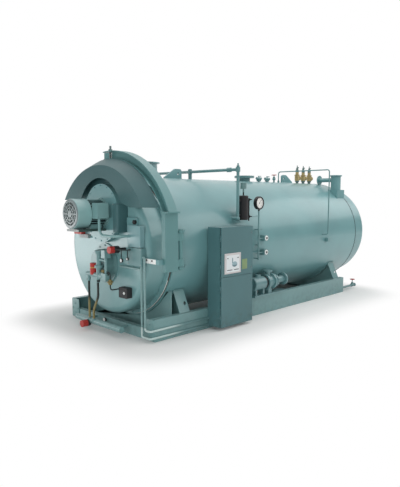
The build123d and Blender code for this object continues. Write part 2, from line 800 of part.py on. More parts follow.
# Cowl over the motor's own fan, with a barred guard in its end
GUARD_STEP = COWL_R / (GUARD_RINGS + 1)
with BuildPart() as motor_cowl:
    lengthwise(FAN_X, (COWL_FRONT_Y, MOTOR_FRONT_Y), FAN_Z, COWL_R)
    fillet(motor_cowl.edges().group_by(Axis.Y)[0], radius=COWL_EDGE_R)
    offset(amount=-COWL_WALL, openings=motor_cowl.faces().sort_by(Axis.Y)[-1])
    with BuildSketch(Plane.XZ.offset(COWL_WALL - COWL_FRONT_Y)):
        with Locations((FAN_X, FAN_Z)):
            for ring in reversed(range(1, GUARD_RINGS)):
                Circle((ring + 1) * GUARD_STEP - COWL_WALL)
                Circle(ring * GUARD_STEP + COWL_WALL, mode=Mode.SUBTRACT)
            with PolarLocations(0, GUARD_BARS, angular_range=180):
                Rectangle(2 * COWL_R, 2 * COWL_WALL, mode=Mode.SUBTRACT)
    extrude(amount=-3 * COWL_WALL, mode=Mode.SUBTRACT)
    lengthwise(FAN_X, (MOTOR_FRONT_Y - COWL_WALL, MOTOR_FRONT_Y), FAN_Z, COWL_R - COWL_WALL)
save(motor_cowl.part, "motor_cowl")

# Motor terminal box and the conduit that leaves it for the burner panel
TERMINAL_X = FAN_X + COWL_R
TERMINAL_Y = MOTOR_FRONT_Y + COWL_WALL
TERMINAL_LOW_Z = FAN_Z - TERMINAL_DROP
CONDUIT_Y = TERMINAL_Y + CONDUIT_INSET
CONDUIT_Z = SHELF_LOW_Z - 2 * CONDUIT_R
CONDUIT_END_X = PANEL_X + PANEL_W / 2
PANEL_FRONT_Y = FACE_Y - PANEL_T
with BuildPart() as terminal_box:
    block(
        (FAN_X + MOTOR_FIN_R + SEAT, TERMINAL_X + TERMINAL_W),
        (TERMINAL_Y, TERMINAL_Y + TERMINAL_L),
        (TERMINAL_LOW_Z, TERMINAL_LOW_Z + TERMINAL_H),
    )
    fillet(terminal_box.edges().filter_by(Axis.Y), radius=CORNER_R)
    add(
        bent_tube(
            [
                (TERMINAL_X + TERMINAL_W / 2, CONDUIT_Y, TERMINAL_LOW_Z),
                (TERMINAL_X + TERMINAL_W / 2, CONDUIT_Y, CONDUIT_Z),
                (CONDUIT_END_X, CONDUIT_Y, CONDUIT_Z),
                (CONDUIT_END_X, PANEL_FRONT_Y, CONDUIT_Z),
            ],
            CONDUIT_R,
            CONDUIT_BEND,
        )
    )
save(terminal_box.part, "terminal_box")

# Upright air box between the fan casing and the burner panel
SHELF_FRONT_Y = DOOR_FACE_Y - SHELF_D
with BuildPart() as air_box:
    block((SHELF_X, SHELF_X + SHELF_W), (SHELF_FRONT_Y, FACE_Y), (SHELF_LOW_Z, SHELF_LOW_Z + SHELF_H))
    fillet(air_box.edges().filter_by(Axis.Z).group_by(Axis.Y)[0], radius=2 * CORNER_R)
    lengthwise(FAN_X, (SHELF_FRONT_Y, FACE_Y), FAN_Z, FAN_R + SEAT, Mode.SUBTRACT)
save(air_box.part, "air_box")

# Burner panel and the junction box below it, on the right of the head's face
with BuildPart() as burner_panel:
    block((PANEL_X, PANEL_X + PANEL_W), (PANEL_FRONT_Y, FACE_Y), (PANEL_LOW_Z, PANEL_LOW_Z + PANEL_H))
    fillet(burner_panel.edges().filter_by(Axis.Y), radius=CORNER_R)
save(burner_panel.part, "burner_panel")

with BuildPart() as junction_box:
    block((BOX_X, BOX_X + BOX_W), (FACE_Y - BOX_T, FACE_Y), (BOX_LOW_Z, BOX_HIGH_Z))
    fillet(junction_box.edges().filter_by(Axis.Z).group_by(Axis.Y)[0], radius=CORNER_R)
save(junction_box.part, "junction_box")

# Davit arm: an I-beam rolled to an arc, its web cut short where the hanger bolt passes
with BuildPart() as davit_arm:
    inner_r = ARM_R - ARM_DEPTH
    for radius in (ARM_R, inner_r + ARM_FLANGE_T):
        with BuildSketch(Plane.XZ.offset(-ARM_Y)):
            with Locations((0, ARM_AXIS_Z)):
                Circle(radius)
                Circle(radius - ARM_FLANGE_T, mode=Mode.SUBTRACT)
        extrude(amount=-ARM_FLANGE)
    with BuildSketch(Plane.XZ.offset(-ARM_Y - (ARM_FLANGE - ARM_WEB_T) / 2)):
        with Locations((0, ARM_AXIS_Z)):
            Circle(ARM_R - ARM_FLANGE_T / 2)
            Circle(inner_r + ARM_FLANGE_T / 2, mode=Mode.SUBTRACT)
        with Locations((BOLT_X + ARM_COPE - ARM_R, ARM_AXIS_Z)):
            Rectangle(2 * ARM_R, 3 * ARM_R, mode=Mode.SUBTRACT)
    extrude(amount=-ARM_WEB_T)
    block(
        (BOLT_X - ARM_OVERHANG, 2 * ARM_R),
        (ARM_Y - ARM_FLANGE, ARM_Y + 2 * ARM_FLANGE),
        (POST_CAP_Z, ARM_AXIS_Z + 2 * ARM_R),
        Mode.INTERSECT,
    )
    upright(BOLT_X, ARM_Y + ARM_FLANGE / 2, (ARM_AXIS_Z, BOLT_TOP_Z), BOLT_R + SEAT, Mode.SUBTRACT)
save(davit_arm.part, "davit_arm")

# Davit post: a box section under the arm, with the knuckles that turn on the hinge pin
with BuildPart() as davit_post:
    foot_rise = POST_CAP_Z - ARM_AXIS_Z
    foot_in_x = sqrt((ARM_R - ARM_DEPTH) ** 2 - foot_rise**2)
    foot_out_x = sqrt(ARM_R**2 - foot_rise**2)
    post_y = (POST_Y, POST_Y + POST_D)
    block((POST_X, POST_X + POST_W), post_y, (POST_LOW_Z, POST_CAP_Z - POST_CAP_T))
    block(
        (POST_X + POST_WALL, POST_X + POST_W - POST_WALL),
        (POST_Y + POST_WALL, POST_Y + POST_D - POST_WALL),
        (POST_LOW_Z + POST_FOOT_T, POST_CAP_Z - POST_CAP_T),
        Mode.SUBTRACT,
    )
    cap_x = (min(POST_X, foot_in_x), max(POST_X + POST_W, foot_out_x))
    block(cap_x, post_y, (POST_CAP_Z - POST_CAP_T, POST_CAP_Z))
    for low in (LUG_LOW_Z + LUG_T + KNUCKLE_GAP, LUG_HIGH_Z - KNUCKLE_GAP - KNUCKLE_H):
        span = (low, low + KNUCKLE_H)
        upright(PIN_X, PIN_Y, span, KNUCKLE_R)
        block((PIN_X - POST_W / 3, PIN_X + POST_W / 3), (POST_Y + POST_D, PIN_Y), span)
        upright(PIN_X, PIN_Y, span, PIN_R + PIN_RUNNING, Mode.SUBTRACT)
save(davit_post.part, "davit_post")

# Hanger bolt, which carries the head from the arm's end
with BuildPart() as hanger_bolt:
    bolt_y = ARM_Y + ARM_FLANGE / 2
    pad_z = crown_z(0, HEAD_R)
    nut_z = ARM_AXIS_Z + sqrt(ARM_R**2 - BOLT_X**2) + BOLT_NUT_LIFT
    upright(BOLT_X, bolt_y, (pad_z - BOLT_NUT_H, BOLT_TOP_Z), BOLT_R)
    upright(BOLT_X, bolt_y, (pad_z - BOLT_NUT_H, pad_z + BOLT_NUT_H), BOLT_PAD_R)
    upright(BOLT_X, bolt_y, (nut_z, nut_z + BOLT_NUT_H), BOLT_NUT_R)
    lengthwise(0, (DOOR_FACE_Y, DOOR_BACK_Y), AXIS_Z, HEAD_R + SEAT, Mode.SUBTRACT)
save(hanger_bolt.part, "hanger_bolt")

# Hinge on the shell's side: two lugs and the pin that they hold
with BuildPart() as davit_hinge:
    for low in (LUG_LOW_Z, LUG_HIGH_Z):
        with BuildSketch(Plane.XY.offset(low)):
            with Locations((PIN_X, PIN_Y)):
                Circle(KNUCKLE_R)
            with Locations((SHELL_R - LUG_T, SHELL_Y + LUG_ROOT_DEPTH / 2 + LUG_T)):
                Rectangle(LUG_ROOT_W, LUG_ROOT_DEPTH)
            make_hull()
        extrude(amount=LUG_T)
    seat_on_shell()
    upright(PIN_X, PIN_Y, (LUG_LOW_Z - PIN_TAIL, LUG_HIGH_Z + LUG_T + PIN_PROUD), PIN_R)
save(davit_hinge.part, "davit_hinge")

# Burner: mounting plate and body on the head's face, with a rounded front edge
with BuildPart() as burner_body:
    lengthwise(0, (FACE_Y - BURNER_PLATE_T, FACE_Y), BURNER_Z, BURNER_PLATE_R)
    lengthwise(0, (BURNER_FRONT_Y, FACE_Y), BURNER_Z, BURNER_BODY_R)
    fillet(burner_body.edges().group_by(Axis.Y)[0], radius=BURNER_PLATE_T)
save(burner_body.part, "burner_body")

# Gas valves and pilot line, standing on the burner's front
TRAIN_Y = BURNER_FRONT_Y - TRAIN_STANDOFF
INLET_Z = BURNER_Z + INLET_RISE
RUN_Z = BURNER_Z - RUN_DROP
RISER_TOP_Z = BURNER_Z + RISER_HIGH
DROP_TOP_Z = BURNER_Z - DROP_LINE_TOP
GOVERNOR_TOP_Z = RUN_Z + GOVERNOR_D / 2
PILOT_Z = BURNER_Z + PILOT_BOX_RISE
train_depth = (TRAIN_Y - GOVERNOR_D / 2, TRAIN_Y + GOVERNOR_D / 2)
with BuildPart() as gas_valves:
    lengthwise(RISER_X, (TRAIN_Y, BURNER_FRONT_Y), INLET_Z, INLET_R)
    upright(RISER_X, TRAIN_Y, (BURNER_Z - RISER_LOW, RISER_TOP_Z), RISER_R)
    for low in (BURNER_Z - RISER_FLANGE_T, RISER_TOP_Z):
        upright(RISER_X, TRAIN_Y, (low, low + RISER_FLANGE_T), RISER_FLANGE_R)
    crosswise((RUN_LEFT_X, RUN_RIGHT_X), TRAIN_Y, RUN_Z, RUN_R)
    crosswise((RUN_COLLAR_X, RUN_COLLAR_X + RUN_COLLAR_W), TRAIN_Y, RUN_Z, RUN_COLLAR_R)
    for x in DROP_TOP_XS:
        upright(x, TRAIN_Y, (DROP_TOP_Z, RUN_Z), DROP_STUB_R)
    block(
        (GOVERNOR_X - GOVERNOR_W / 2, GOVERNOR_X + GOVERNOR_W / 2),
        train_depth,
        (RUN_Z - GOVERNOR_D / 2, GOVERNOR_TOP_Z),
    )
    upright(GOVERNOR_X, TRAIN_Y, (GOVERNOR_TOP_Z, PILOT_Z), PILOT_R)
    block(
        (GOVERNOR_X - PILOT_BOX_W / 2, GOVERNOR_X + PILOT_BOX_W / 2),
        train_depth,
        (PILOT_Z, PILOT_Z + PILOT_BOX_H),
    )
    crosswise((RISER_X, GOVERNOR_X), TRAIN_Y, INLET_Z, CROSSOVER_R)
save(gas_valves.part, "gas_valves")

# Capped actuators: one upright on the gas train's run, one on a stem from the head's face
with BuildPart() as gas_actuators:
    upright(MOTOR_VALVE_X, TRAIN_Y, (RUN_Z, RUN_Z + MOTOR_VALVE_H), MOTOR_VALVE_R)
    crosswise((RUN_LEFT_X, RUN_RIGHT_X), TRAIN_Y, RUN_Z, RUN_R + SEAT, Mode.SUBTRACT)
    cap_z = BURNER_Z + SWITCH_CAP_RISE
    stem_y = FACE_Y - SWITCH_STEM_L
    lengthwise(SWITCH_CAP_X, (stem_y - SWITCH_CAP_L, stem_y), cap_z, SWITCH_CAP_R)
    lengthwise(SWITCH_CAP_X, (stem_y, FACE_Y), cap_z, SWITCH_STEM_R)
save(gas_actuators.part, "gas_actuators")

# Drop lines between the gas train and the header's unions, one straight and one cranked
UNION_Z = HEADER_Z + HEADER_R + UNION_RISE
with BuildPart() as gas_hoses:
    foot_z = UNION_Z + UNION_GAP
    drop_h = DROP_TOP_Z - foot_z
    upright(DROP_TOP_XS[0], TRAIN_Y, (foot_z, DROP_TOP_Z), DROP_LINE_R)
    add(
        bent_tube(
            [
                (DROP_TOP_XS[1], TRAIN_Y, DROP_TOP_Z),
                (DROP_TOP_XS[1], TRAIN_Y, foot_z + CRANK_HIGH * drop_h),
                (DROP_FOOT_X, TRAIN_Y, foot_z + CRANK_LOW * drop_h),
                (DROP_FOOT_X, TRAIN_Y, foot_z),
            ],
            DROP_LINE_R,
            CRANK_BEND * drop_h,
        )
    )
save(gas_hoses.part, "gas_hoses")

# Flame scanner housing
with BuildPart() as flame_scanner:
    block(
        (SCANNER_X, SCANNER_X + SCANNER_W),
        (FACE_Y - SCANNER_T, FACE_Y),
        (SCANNER_LOW_Z, SCANNER_LOW_Z + SCANNER_H),
    )
    fillet(flame_scanner.edges().filter_by(Axis.Y), radius=CORNER_R)
save(flame_scanner.part, "flame_scanner")

# Damper actuator on the left of the head's face, with its linkage below
with BuildPart() as damper_actuator:
    damper_z = AXIS_Z + DAMPER_RISE
    block((DAMPER_X, DAMPER_X + DAMPER_W), (FACE_Y - DAMPER_T, FACE_Y), (damper_z, damper_z + DAMPER_H))
    block((LINK_X, LINK_X + LINK_W), (FACE_Y - LINK_T, FACE_Y), (damper_z - LINK_H, damper_z))
save(damper_actuator.part, "damper_actuator")

# Conduits that drop from the junction box, one with a branch to the gas train's governor
BOX_END_X = BOX_X + BOX_W
DROP_Y = DOOR_FACE_Y - DROP_OUT
with BuildPart() as door_conduits:
    turn_z = (BOX_LOW_Z + BOX_HIGH_Z) / 2
    feed_z = BOX_LOW_Z - FEED_DROP
    upright(BOX_END_X - DROP_INSET, DROP_Y, (DROP_LOW_Z, BOX_LOW_Z), DROP_R)
    crosswise((FEED_X, BOX_END_X - DROP_INSET), DROP_Y, feed_z, DROP_R)
    lengthwise(FEED_X, (DROP_Y, FACE_Y), feed_z, DROP_R)
    add(
        bent_tube(
            [
                (BOX_END_X, DROP_Y, turn_z),
                (BOX_END_X + DROP_INSET, DROP_Y, turn_z),
                (BOX_END_X + DROP_INSET, DROP_Y, DROP_LOW_Z),
            ],
            DROP_R,
            DROP_BEND,
        )
    )
save(door_conduits.part, "door_conduits")

# Gas header in front of the skid, on two stays, with the drop lines' unions on top
with BuildPart() as gas_header:
    crosswise((HEADER_LEFT_X, HEADER_RIGHT_X), HEADER_Y, HEADER_Z, HEADER_R)
    fillet(gas_header.edges().group_by(Axis.X)[0], radius=HEADER_ROUND * HEADER_R)
    for x in (DROP_TOP_XS[0], DROP_FOOT_X):
        upright(x, TRAIN_Y, (HEADER_Z, UNION_Z), UNION_R)
    for x in (HEADER_LEFT_X + STAY_INSET, HEADER_RIGHT_X - STAY_INSET):
        lengthwise(x, (HEADER_Y, RAIL_FRONT_Y), HEADER_Z - STAY_DROP, STAY_R)
save(gas_header.part, "gas_header")

# Capped shut-off actuator on the header's front
with BuildPart() as header_actuator:
    cap_y = (HEADER_Y - HEADER_R - HEADER_CAP_L, HEADER_Y)
    lengthwise(HEADER_CAP_X, cap_y, HEADER_Z - HEADER_CAP_DROP, HEADER_CAP_R)
    crosswise((HEADER_LEFT_X, HEADER_RIGHT_X), HEADER_Y, HEADER_Z, HEADER_R + SEAT, Mode.SUBTRACT)
    upright(DROP_TOP_XS[0], TRAIN_Y, (HEADER_Z, UNION_Z), UNION_R + SEAT, Mode.SUBTRACT)
    block(
        (HEADER_CAP_X - HEADER_CAP_R, HEADER_CAP_X + HEADER_CAP_R),
        (HEADER_Y - HEADER_R / 2, HEADER_Y),
        (0, HEADER_Z + HEADER_R),
        Mode.SUBTRACT,
    )
save(header_actuator.part, "header_actuator")

# Small gas gauge on the front crossmember
with BuildPart() as gas_gauge:
    dial_y = RAIL_FRONT_Y - DIAL_STEM_L
    lengthwise(DIAL_X, (dial_y, RAIL_FRONT_Y), DIAL_Z, DIAL_STEM_R)
    lengthwise(DIAL_X, (dial_y - DIAL_T, dial_y), DIAL_Z, DIAL_R)
save(gas_gauge.part, "gas_gauge")

# Conduits along the right rail, from the front drops to the cabinet
with BuildPart() as rail_conduits:
    run_x = RAIL_OUTER_X + DROP_R + SEAT
    for x, z in ((BOX_END_X - DROP_INSET, RUN_LOW_Z), (BOX_END_X + DROP_INSET, RUN_HIGH_Z)):
        add(
            bent_tube(
                [
                    (x, DROP_Y, DROP_LOW_Z - DROP_GAP),
                    (x, DROP_Y, z),
                    (run_x, DROP_Y, z),
                    (run_x, CABINET_Y, z),
                ],
                DROP_R,
                RUN_BEND,
            )
        )
save(rail_conduits.part, "rail_conduits")

# Control cabinet, open to the right, with the fixed halves of its hinges on the front edge
CABINET_X = RAIL_OUTER_X
CABINET_FACE_X = CABINET_X + CABINET_D
CABINET_END_Y = CABINET_Y + CABINET_W
LEAF_X = CABINET_FACE_X + LEAF_GAP
HINGE_X = LEAF_X + LEAF_T / 2
HINGE_Y = CABINET_Y - HINGE_FORWARD
LEAVES = {
    "cabinet_lower_door": (CABINET_LOW_Z, CABINET_SPLIT_Z - LEAF_GAP / 2),
    "cabinet_upper_door": (CABINET_SPLIT_Z + LEAF_GAP / 2, CABINET_HIGH_Z),
}


def hinge_heights(leaf):
    """The low end of each hinge of a door leaf."""
    return (leaf[0] + HINGE_INSET, leaf[1] - HINGE_INSET - HINGE_H)


with BuildPart() as cabinet_body:
    block((CABINET_X, CABINET_FACE_X), (CABINET_Y, CABINET_END_Y), (CABINET_LOW_Z, CABINET_HIGH_Z))
    block(
        (CABINET_X + CABINET_WALL, CABINET_FACE_X),
        (CABINET_Y + CABINET_WALL, CABINET_END_Y - CABINET_WALL),
        (CABINET_LOW_Z + CABINET_WALL, CABINET_HIGH_Z - CABINET_WALL),
        Mode.SUBTRACT,
    )
    for leaf in LEAVES.values():
        for low in hinge_heights(leaf):
            block(
                (CABINET_FACE_X - HINGE_TAB_REACH, HINGE_X + HINGE_PIN_R),
                (HINGE_Y - HINGE_PIN_R, CABINET_Y),
                (low, low + HINGE_TAB_T),
            )
            upright(HINGE_X, HINGE_Y, (low, low + HINGE_H), HINGE_PIN_R)
save(cabinet_body.part, "cabinet_body")


def cabinet_leaf(leaf):
    """A door leaf with a folded rim, its hinge barrels on the front edge."""
    front_y = HINGE_Y + 2 * HINGE_BARREL_R
    with BuildPart() as door:
        block((LEAF_X, LEAF_X + LEAF_T), (front_y, CABINET_END_Y), leaf)
        block(
            (LEAF_X, LEAF_X + LEAF_HOLLOW),
            (front_y + LEAF_RIM, CABINET_END_Y - LEAF_RIM),
            (leaf[0] + LEAF_RIM, leaf[1] - LEAF_RIM),
            Mode.SUBTRACT,
        )
        for low in hinge_heights(leaf):
            barrel = (low + HINGE_TAB_T + HINGE_LIFT, low + HINGE_H)
            upright(HINGE_X, HINGE_Y, barrel, HINGE_BARREL_R)
            block((HINGE_X - LEAF_T / 4, HINGE_X + LEAF_T / 4), (HINGE_Y, front_y), barrel)
            upright(HINGE_X, HINGE_Y, barrel, HINGE_PIN_R + HINGE_RUNNING, Mode.SUBTRACT)
    return door.part


for leaf_name, leaf_span in LEAVES.items():
    save(cabinet_leaf(leaf_span), leaf_name)

# Mounting plate inside the cabinet, on four standoffs
with BuildPart() as mounting_plate:
    plate_x = CABINET_X + CABINET_WALL + PLATE_STANDOFF
    plate_y = (CABINET_Y + PLATE_INSET, CABINET_END_Y - PLATE_INSET)
    plate_z = (CABINET_LOW_Z + PLATE_INSET, CABINET_HIGH_Z - PLATE_INSET)
    block((plate_x, plate_x + PLATE_T), plate_y, plate_z)
    for y in (plate_y[0] + PLATE_INSET, plate_y[1] - PLATE_INSET):
        for z in (plate_z[0] + PLATE_INSET, plate_z[1] - PLATE_INSET):
            crosswise((CABINET_X + CABINET_WALL, plate_x), y, z, PLATE_STANDOFF)
save(mounting_plate.part, "mounting_plate")

# Operator screen on the upper door
with BuildPart() as operator_screen:
    screen_y = CABINET_Y + SCREEN_INSET
    screen_z = CABINET_SPLIT_Z + SCREEN_RISE
    block(
        (LEAF_X + LEAF_T, LEAF_X + LEAF_T + SCREEN_T),
        (screen_y, screen_y + SCREEN_W),
        (screen_z, screen_z + SCREEN_H),
    )
    chamfer(operator_screen.faces().sort_by(Axis.X)[-1].edges(), length=SCREEN_T / 2)
save(operator_screen.part, "operator_screen")

# Flue outlet at the front of the crown, with an angle-ring flange
FLUE_Y = SHELL_Y + FLUE_INSET
FLUE_TOP_Z = CROWN_Z + FLUE_RISE
with BuildPart() as flue_outlet:
    upright(0, FLUE_Y, (AXIS_Z, FLUE_TOP_Z), FLUE_R)
    upright(0, FLUE_Y, (FLUE_TOP_Z - FLUE_FLANGE_T, FLUE_TOP_Z), FLUE_FLANGE_R)
    upright(0, FLUE_Y, (AXIS_Z, FLUE_TOP_Z), FLUE_R - FLUE_WALL, Mode.SUBTRACT)
    with Locations((0, FLUE_Y, FLUE_TOP_Z)):
        with PolarLocations(FLUE_PITCH_R, FLUE_HOLES):
            Hole(FLUE_HOLE_R, depth=FLUE_FLANGE_T)
    seat_on_shell()
save(flue_outlet.part, "flue_outlet")

# Steam nozzle with its drilled flange
STEAM_Y = SHELL_END_Y - STEAM_INSET
STEAM_TOP_Z = CROWN_Z + STEAM_RISE
with BuildPart() as steam_nozzle:
    upright(0, STEAM_Y, (AXIS_Z, STEAM_TOP_Z), STEAM_PIPE_R)
    upright(0, STEAM_Y, (STEAM_TOP_Z - STEAM_FLANGE_T, STEAM_TOP_Z), STEAM_FLANGE_R)
    upright(0, STEAM_Y, (AXIS_Z, STEAM_TOP_Z), STEAM_BORE_R, Mode.SUBTRACT)
    with Locations((0, STEAM_Y, STEAM_TOP_Z)):
        with PolarLocations(STEAM_PITCH_R, STEAM_HOLES):
            Hole(STEAM_HOLE_R, depth=STEAM_FLANGE_T)
    seat_on_shell()
save(steam_nozzle.part, "steam_nozzle")


# Lifting lugs, plates along the crown with an eye at their high end
def lifting_lug(heel_y, toward):
    """A lug that rises from its heel towards the eye."""
    eye_y = heel_y + toward * (EYE_PLATE_L - EYE_DROP)
    tip_y = heel_y + toward * EYE_PLATE_L
    peak_z = CROWN_Z + EYE_PEAK
    with BuildPart() as lug:
        with BuildSketch(Plane.YZ.offset(-EYE_PLATE_T / 2)):
            with BuildLine():
                Polyline(
                    (heel_y, AXIS_Z),
                    (heel_y, CROWN_Z + EYE_HEEL),
                    (eye_y - toward * EYE_DROP, peak_z),
                    (tip_y, peak_z),
                    (tip_y, AXIS_Z),
                    close=True,
                )
            make_face()
        extrude(amount=EYE_PLATE_T)
        top = lug.edges().filter_by(Axis.X).group_by(Axis.Z)[-1]
        fillet(top, radius=EYE_ROUND)
        crosswise((-EYE_PLATE_T, EYE_PLATE_T), eye_y, peak_z - EYE_DROP, EYE_R, Mode.SUBTRACT)
        seat_on_shell()
    return lug.part


save(lifting_lug(SHELL_Y + FRONT_EYE_INSET, 1), "front_lifting_lug")
save(lifting_lug(SHELL_END_Y - REAR_EYE_INSET, -1), "rear_lifting_lug")


# Safety valves: nipple, body with a side outlet, spring bonnet, cap and lift lever
def safety_valve(y):
    """One spring-loaded safety valve on the crown, built upward from its nipple."""
    body_z = CROWN_Z + VALVE_NIPPLE_H
    rim_z = body_z + VALVE_BODY_H
    bonnet_z = rim_z + VALVE_RIM_T
    cap_z = bonnet_z + VALVE_BONNET_H
    stem_z = cap_z + VALVE_CAP_H
    outlet_z = (body_z + rim_z) / 2
    with BuildPart() as valve:
        upright(0, y, (AXIS_Z, body_z), VALVE_NIPPLE_R)
        upright(0, y, (body_z - VALVE_NIPPLE_H / 2, body_z), VALVE_HEX_R)
        upright(0, y, (body_z, rim_z), VALVE_BODY_R)
        lengthwise(0, (y, y + VALVE_OUTLET_L), outlet_z, VALVE_OUTLET_R)
        lengthwise(0, (y + VALVE_OUTLET_L - VALVE_LIP_T, y + VALVE_OUTLET_L), outlet_z, VALVE_LIP_R)
        upright(0, y, (rim_z, bonnet_z), VALVE_RIM_R)
        upright(0, y, (bonnet_z, cap_z), VALVE_BONNET_R)
        upright(0, y, (cap_z, stem_z), VALVE_CAP_R)
        block(
            (-VALVE_LEVER_W / 2, VALVE_LEVER_W / 2),
            (y - VALVE_LEVER_W / 2, y + VALVE_LEVER_L),
            (stem_z, stem_z + VALVE_LEVER_H),
        )
        upright(0, y, (stem_z, stem_z + VALVE_STEM_H), VALVE_STEM_R)
        seat_on_shell()
    return valve.part


for number, inset in enumerate(VALVE_INSETS, start=1):
    save(safety_valve(SHELL_END_Y - inset), f"safety_valve_{number}")


def stop_valve(x, y, low_z, body_z, wheel_z):
    """A small globe valve body with a rising stem, left bare where its wheel turns."""
    hub_z = wheel_z - WHEEL_HUB_H / 2
    upright(x, y, (low_z, body_z + STOP_BODY_R), STOP_BODY_R / 2)
    with Locations((x, y, body_z)):
        Sphere(STOP_BODY_R)
    upright(x, y, (body_z, body_z + STOP_BONNET_H), STOP_BONNET_R)
    upright(x, y, (body_z, wheel_z + WHEEL_HUB_H / 2), STEM_R)
    upright(x, y, (hub_z - STEM_R, hub_z), (WHEEL_HUB_R + STEM_R) / 2)


# Small valves on the crown: two vent cocks and the stop valve behind them
STOP_Y = SHELL_END_Y - STOP_INSET
STOP_BODY_Z = CROWN_Z + STOP_RISE
STOP_WHEEL_Z = STOP_BODY_Z + STOP_STEM_RISE
COCK_Z = CROWN_Z + COCK_RISE
with BuildPart() as crown_valves:
    for inset in COCK_INSETS:
        y = SHELL_END_Y - inset
        lever_z = COCK_Z + COCK_STEM_H
        upright(0, y, (AXIS_Z, COCK_Z), COCK_NECK_R)
        upright(0, y, (COCK_Z - COCK_BODY_R - COCK_COLLAR_T, COCK_Z - COCK_BODY_R), COCK_COLLAR_R)
        lengthwise(0, (y - COCK_BODY_L / 2, y + COCK_BODY_L / 2), COCK_Z, COCK_BODY_R)
        upright(0, y, (COCK_Z, lever_z), COCK_STEM_R)
        block(
            (-COCK_STEM_R, COCK_STEM_R),
            (y - COCK_STEM_R, y + COCK_LEVER_L),
            (lever_z - COCK_LEVER_T / 2, lever_z + COCK_LEVER_T / 2),
        )
    stop_valve(0, STOP_Y, AXIS_Z, STOP_BODY_Z, STOP_WHEEL_Z)
    seat_on_shell()
save(crown_valves.part, "crown_valves")


def handwheel(x, y, z):
    """A spoked handwheel, bored to run on its valve's stem."""
    with BuildPart() as wheel:
        with Locations((x, y, z)):
            Torus(WHEEL_R - WHEEL_RIM_R, WHEEL_RIM_R)
        upright(x, y, (z - WHEEL_HUB_H / 2, z + WHEEL_HUB_H / 2), WHEEL_HUB_R)
        with BuildSketch(Plane.XY.offset(z - WHEEL_RIM_R / 2)):
            with Locations((x, y)):
                with PolarLocations(WHEEL_R / 2, WHEEL_SPOKES):
                    Rectangle(WHEEL_R - WHEEL_RIM_R, WHEEL_RIM_R)
        extrude(amount=WHEEL_RIM_R)
        upright(x, y, (z - WHEEL_HUB_H, z + WHEEL_HUB_H), STEM_R + STEM_RUNNING, Mode.SUBTRACT)
    return wheel.part


save(handwheel(0, STOP_Y, STOP_WHEEL_Z), "stop_handwheel")

# Vent stub on a shoulder box at the rear right of the crown, with a flanged branch
STUB_X = SHELL_R - STUB_IN_X
STUB_Y = SHELL_END_Y - STUB_INSET
STUB_TOP_Z = CROWN_Z + STUB_RISE
SHOULDER_Z = CROWN_Z - SHOULDER_DROP
BRANCH_Z = CROWN_Z + BRANCH_RISE
with BuildPart() as vent_stub:
    branch_x = STUB_X - BRANCH_REACH
    upright(STUB_X, STUB_Y, (AXIS_Z, STUB_TOP_Z), STUB_R)
    upright(STUB_X, STUB_Y, (STUB_TOP_Z - STUB_FLANGE_T, STUB_TOP_Z), STUB_FLANGE_R)
    block(
        (STUB_X - SHOULDER_W / 2, STUB_X + SHOULDER_W / 2),
        (STUB_Y - SHOULDER_L / 2, STUB_Y + SHOULDER_L / 2),
        (AXIS_Z, SHOULDER_Z),
    )
    crosswise((branch_x, STUB_X), STUB_Y, BRANCH_Z, BRANCH_R)
    crosswise((branch_x, branch_x + STUB_FLANGE_T), STUB_Y, BRANCH_Z, BRANCH_FLANGE_R)
    upright(STUB_X, STUB_Y, (SHOULDER_Z, STUB_TOP_Z), STUB_R - STUB_WALL, Mode.SUBTRACT)
    seat_on_shell()
save(vent_stub.part, "vent_stub")

# Steam cross pipe over the shell, on a crown nozzle, with a drop to each side
UNION_FIT_R = 1.5 * CROSS_R
with BuildPart() as steam_cross_pipe:
    fit_x = CROSS_X - CROSS_UNION_INSET
    crosswise((-CROSS_X, CROSS_X), CROSS_Y, CROSS_Z, CROSS_R)
    crosswise((fit_x - CROSS_UNION_L, fit_x), CROSS_Y, CROSS_Z, UNION_FIT_R)
    upright(0, CROSS_Y, (AXIS_Z, CROSS_Z + 2 * CROSS_R), 1.3 * CROSS_R)
    upright(0, CROSS_Y, (CROSS_Z - UNION_FIT_R, CROSS_Z + UNION_FIT_R), UNION_FIT_R)
    for side in (1, -1):
        x = side * CROSS_X
        cap_z = CROSS_Z + UNION_FIT_R + CROSS_R
        upright(x, CROSS_Y, (CROSS_LOW_Z, cap_z), CROSS_R)
        upright(x, CROSS_Y, (CROSS_Z - UNION_FIT_R, CROSS_Z + UNION_FIT_R), UNION_FIT_R)
        upright(x, CROSS_Y, (cap_z, cap_z + UNION_FIT_R), CROSS_R / 2)
        with Locations((x, CROSS_Y, CROSS_LOW_Z)):
            Sphere(UNION_FIT_R)
        crosswise((min(0, x), max(0, x)), CROSS_Y, CROSS_LOW_Z, CROSS_R)
    seat_on_shell()
save(steam_cross_pipe.part, "steam_cross_pipe")

# Water column, hung from the right drop by its two nipples, with a small bowl above
with BuildPart() as water_column:
    bowl_z = COLUMN_HIGH_Z + BOWL_GAP
    upright(CROSS_X, COLUMN_Y, (COLUMN_LOW_Z, COLUMN_HIGH_Z), COLUMN_R)
    fillet(water_column.edges(), radius=COLUMN_EDGE_R)
    upright(CROSS_X, COLUMN_Y, (COLUMN_HIGH_Z, bowl_z), BOWL_R / 4)
    upright(CROSS_X, COLUMN_Y, (bowl_z, bowl_z + BOWL_H), BOWL_R)
    for z in (COLUMN_LOW_Z + COLUMN_R, COLUMN_HIGH_Z - COLUMN_R):
        lengthwise(CROSS_X, (CROSS_Y, COLUMN_Y), z, 0.8 * CROSS_R)
    upright(CROSS_X, CROSS_Y, (CROSS_LOW_Z, CROSS_Z), CROSS_R + SEAT, Mode.SUBTRACT)
save(water_column.part, "water_column")

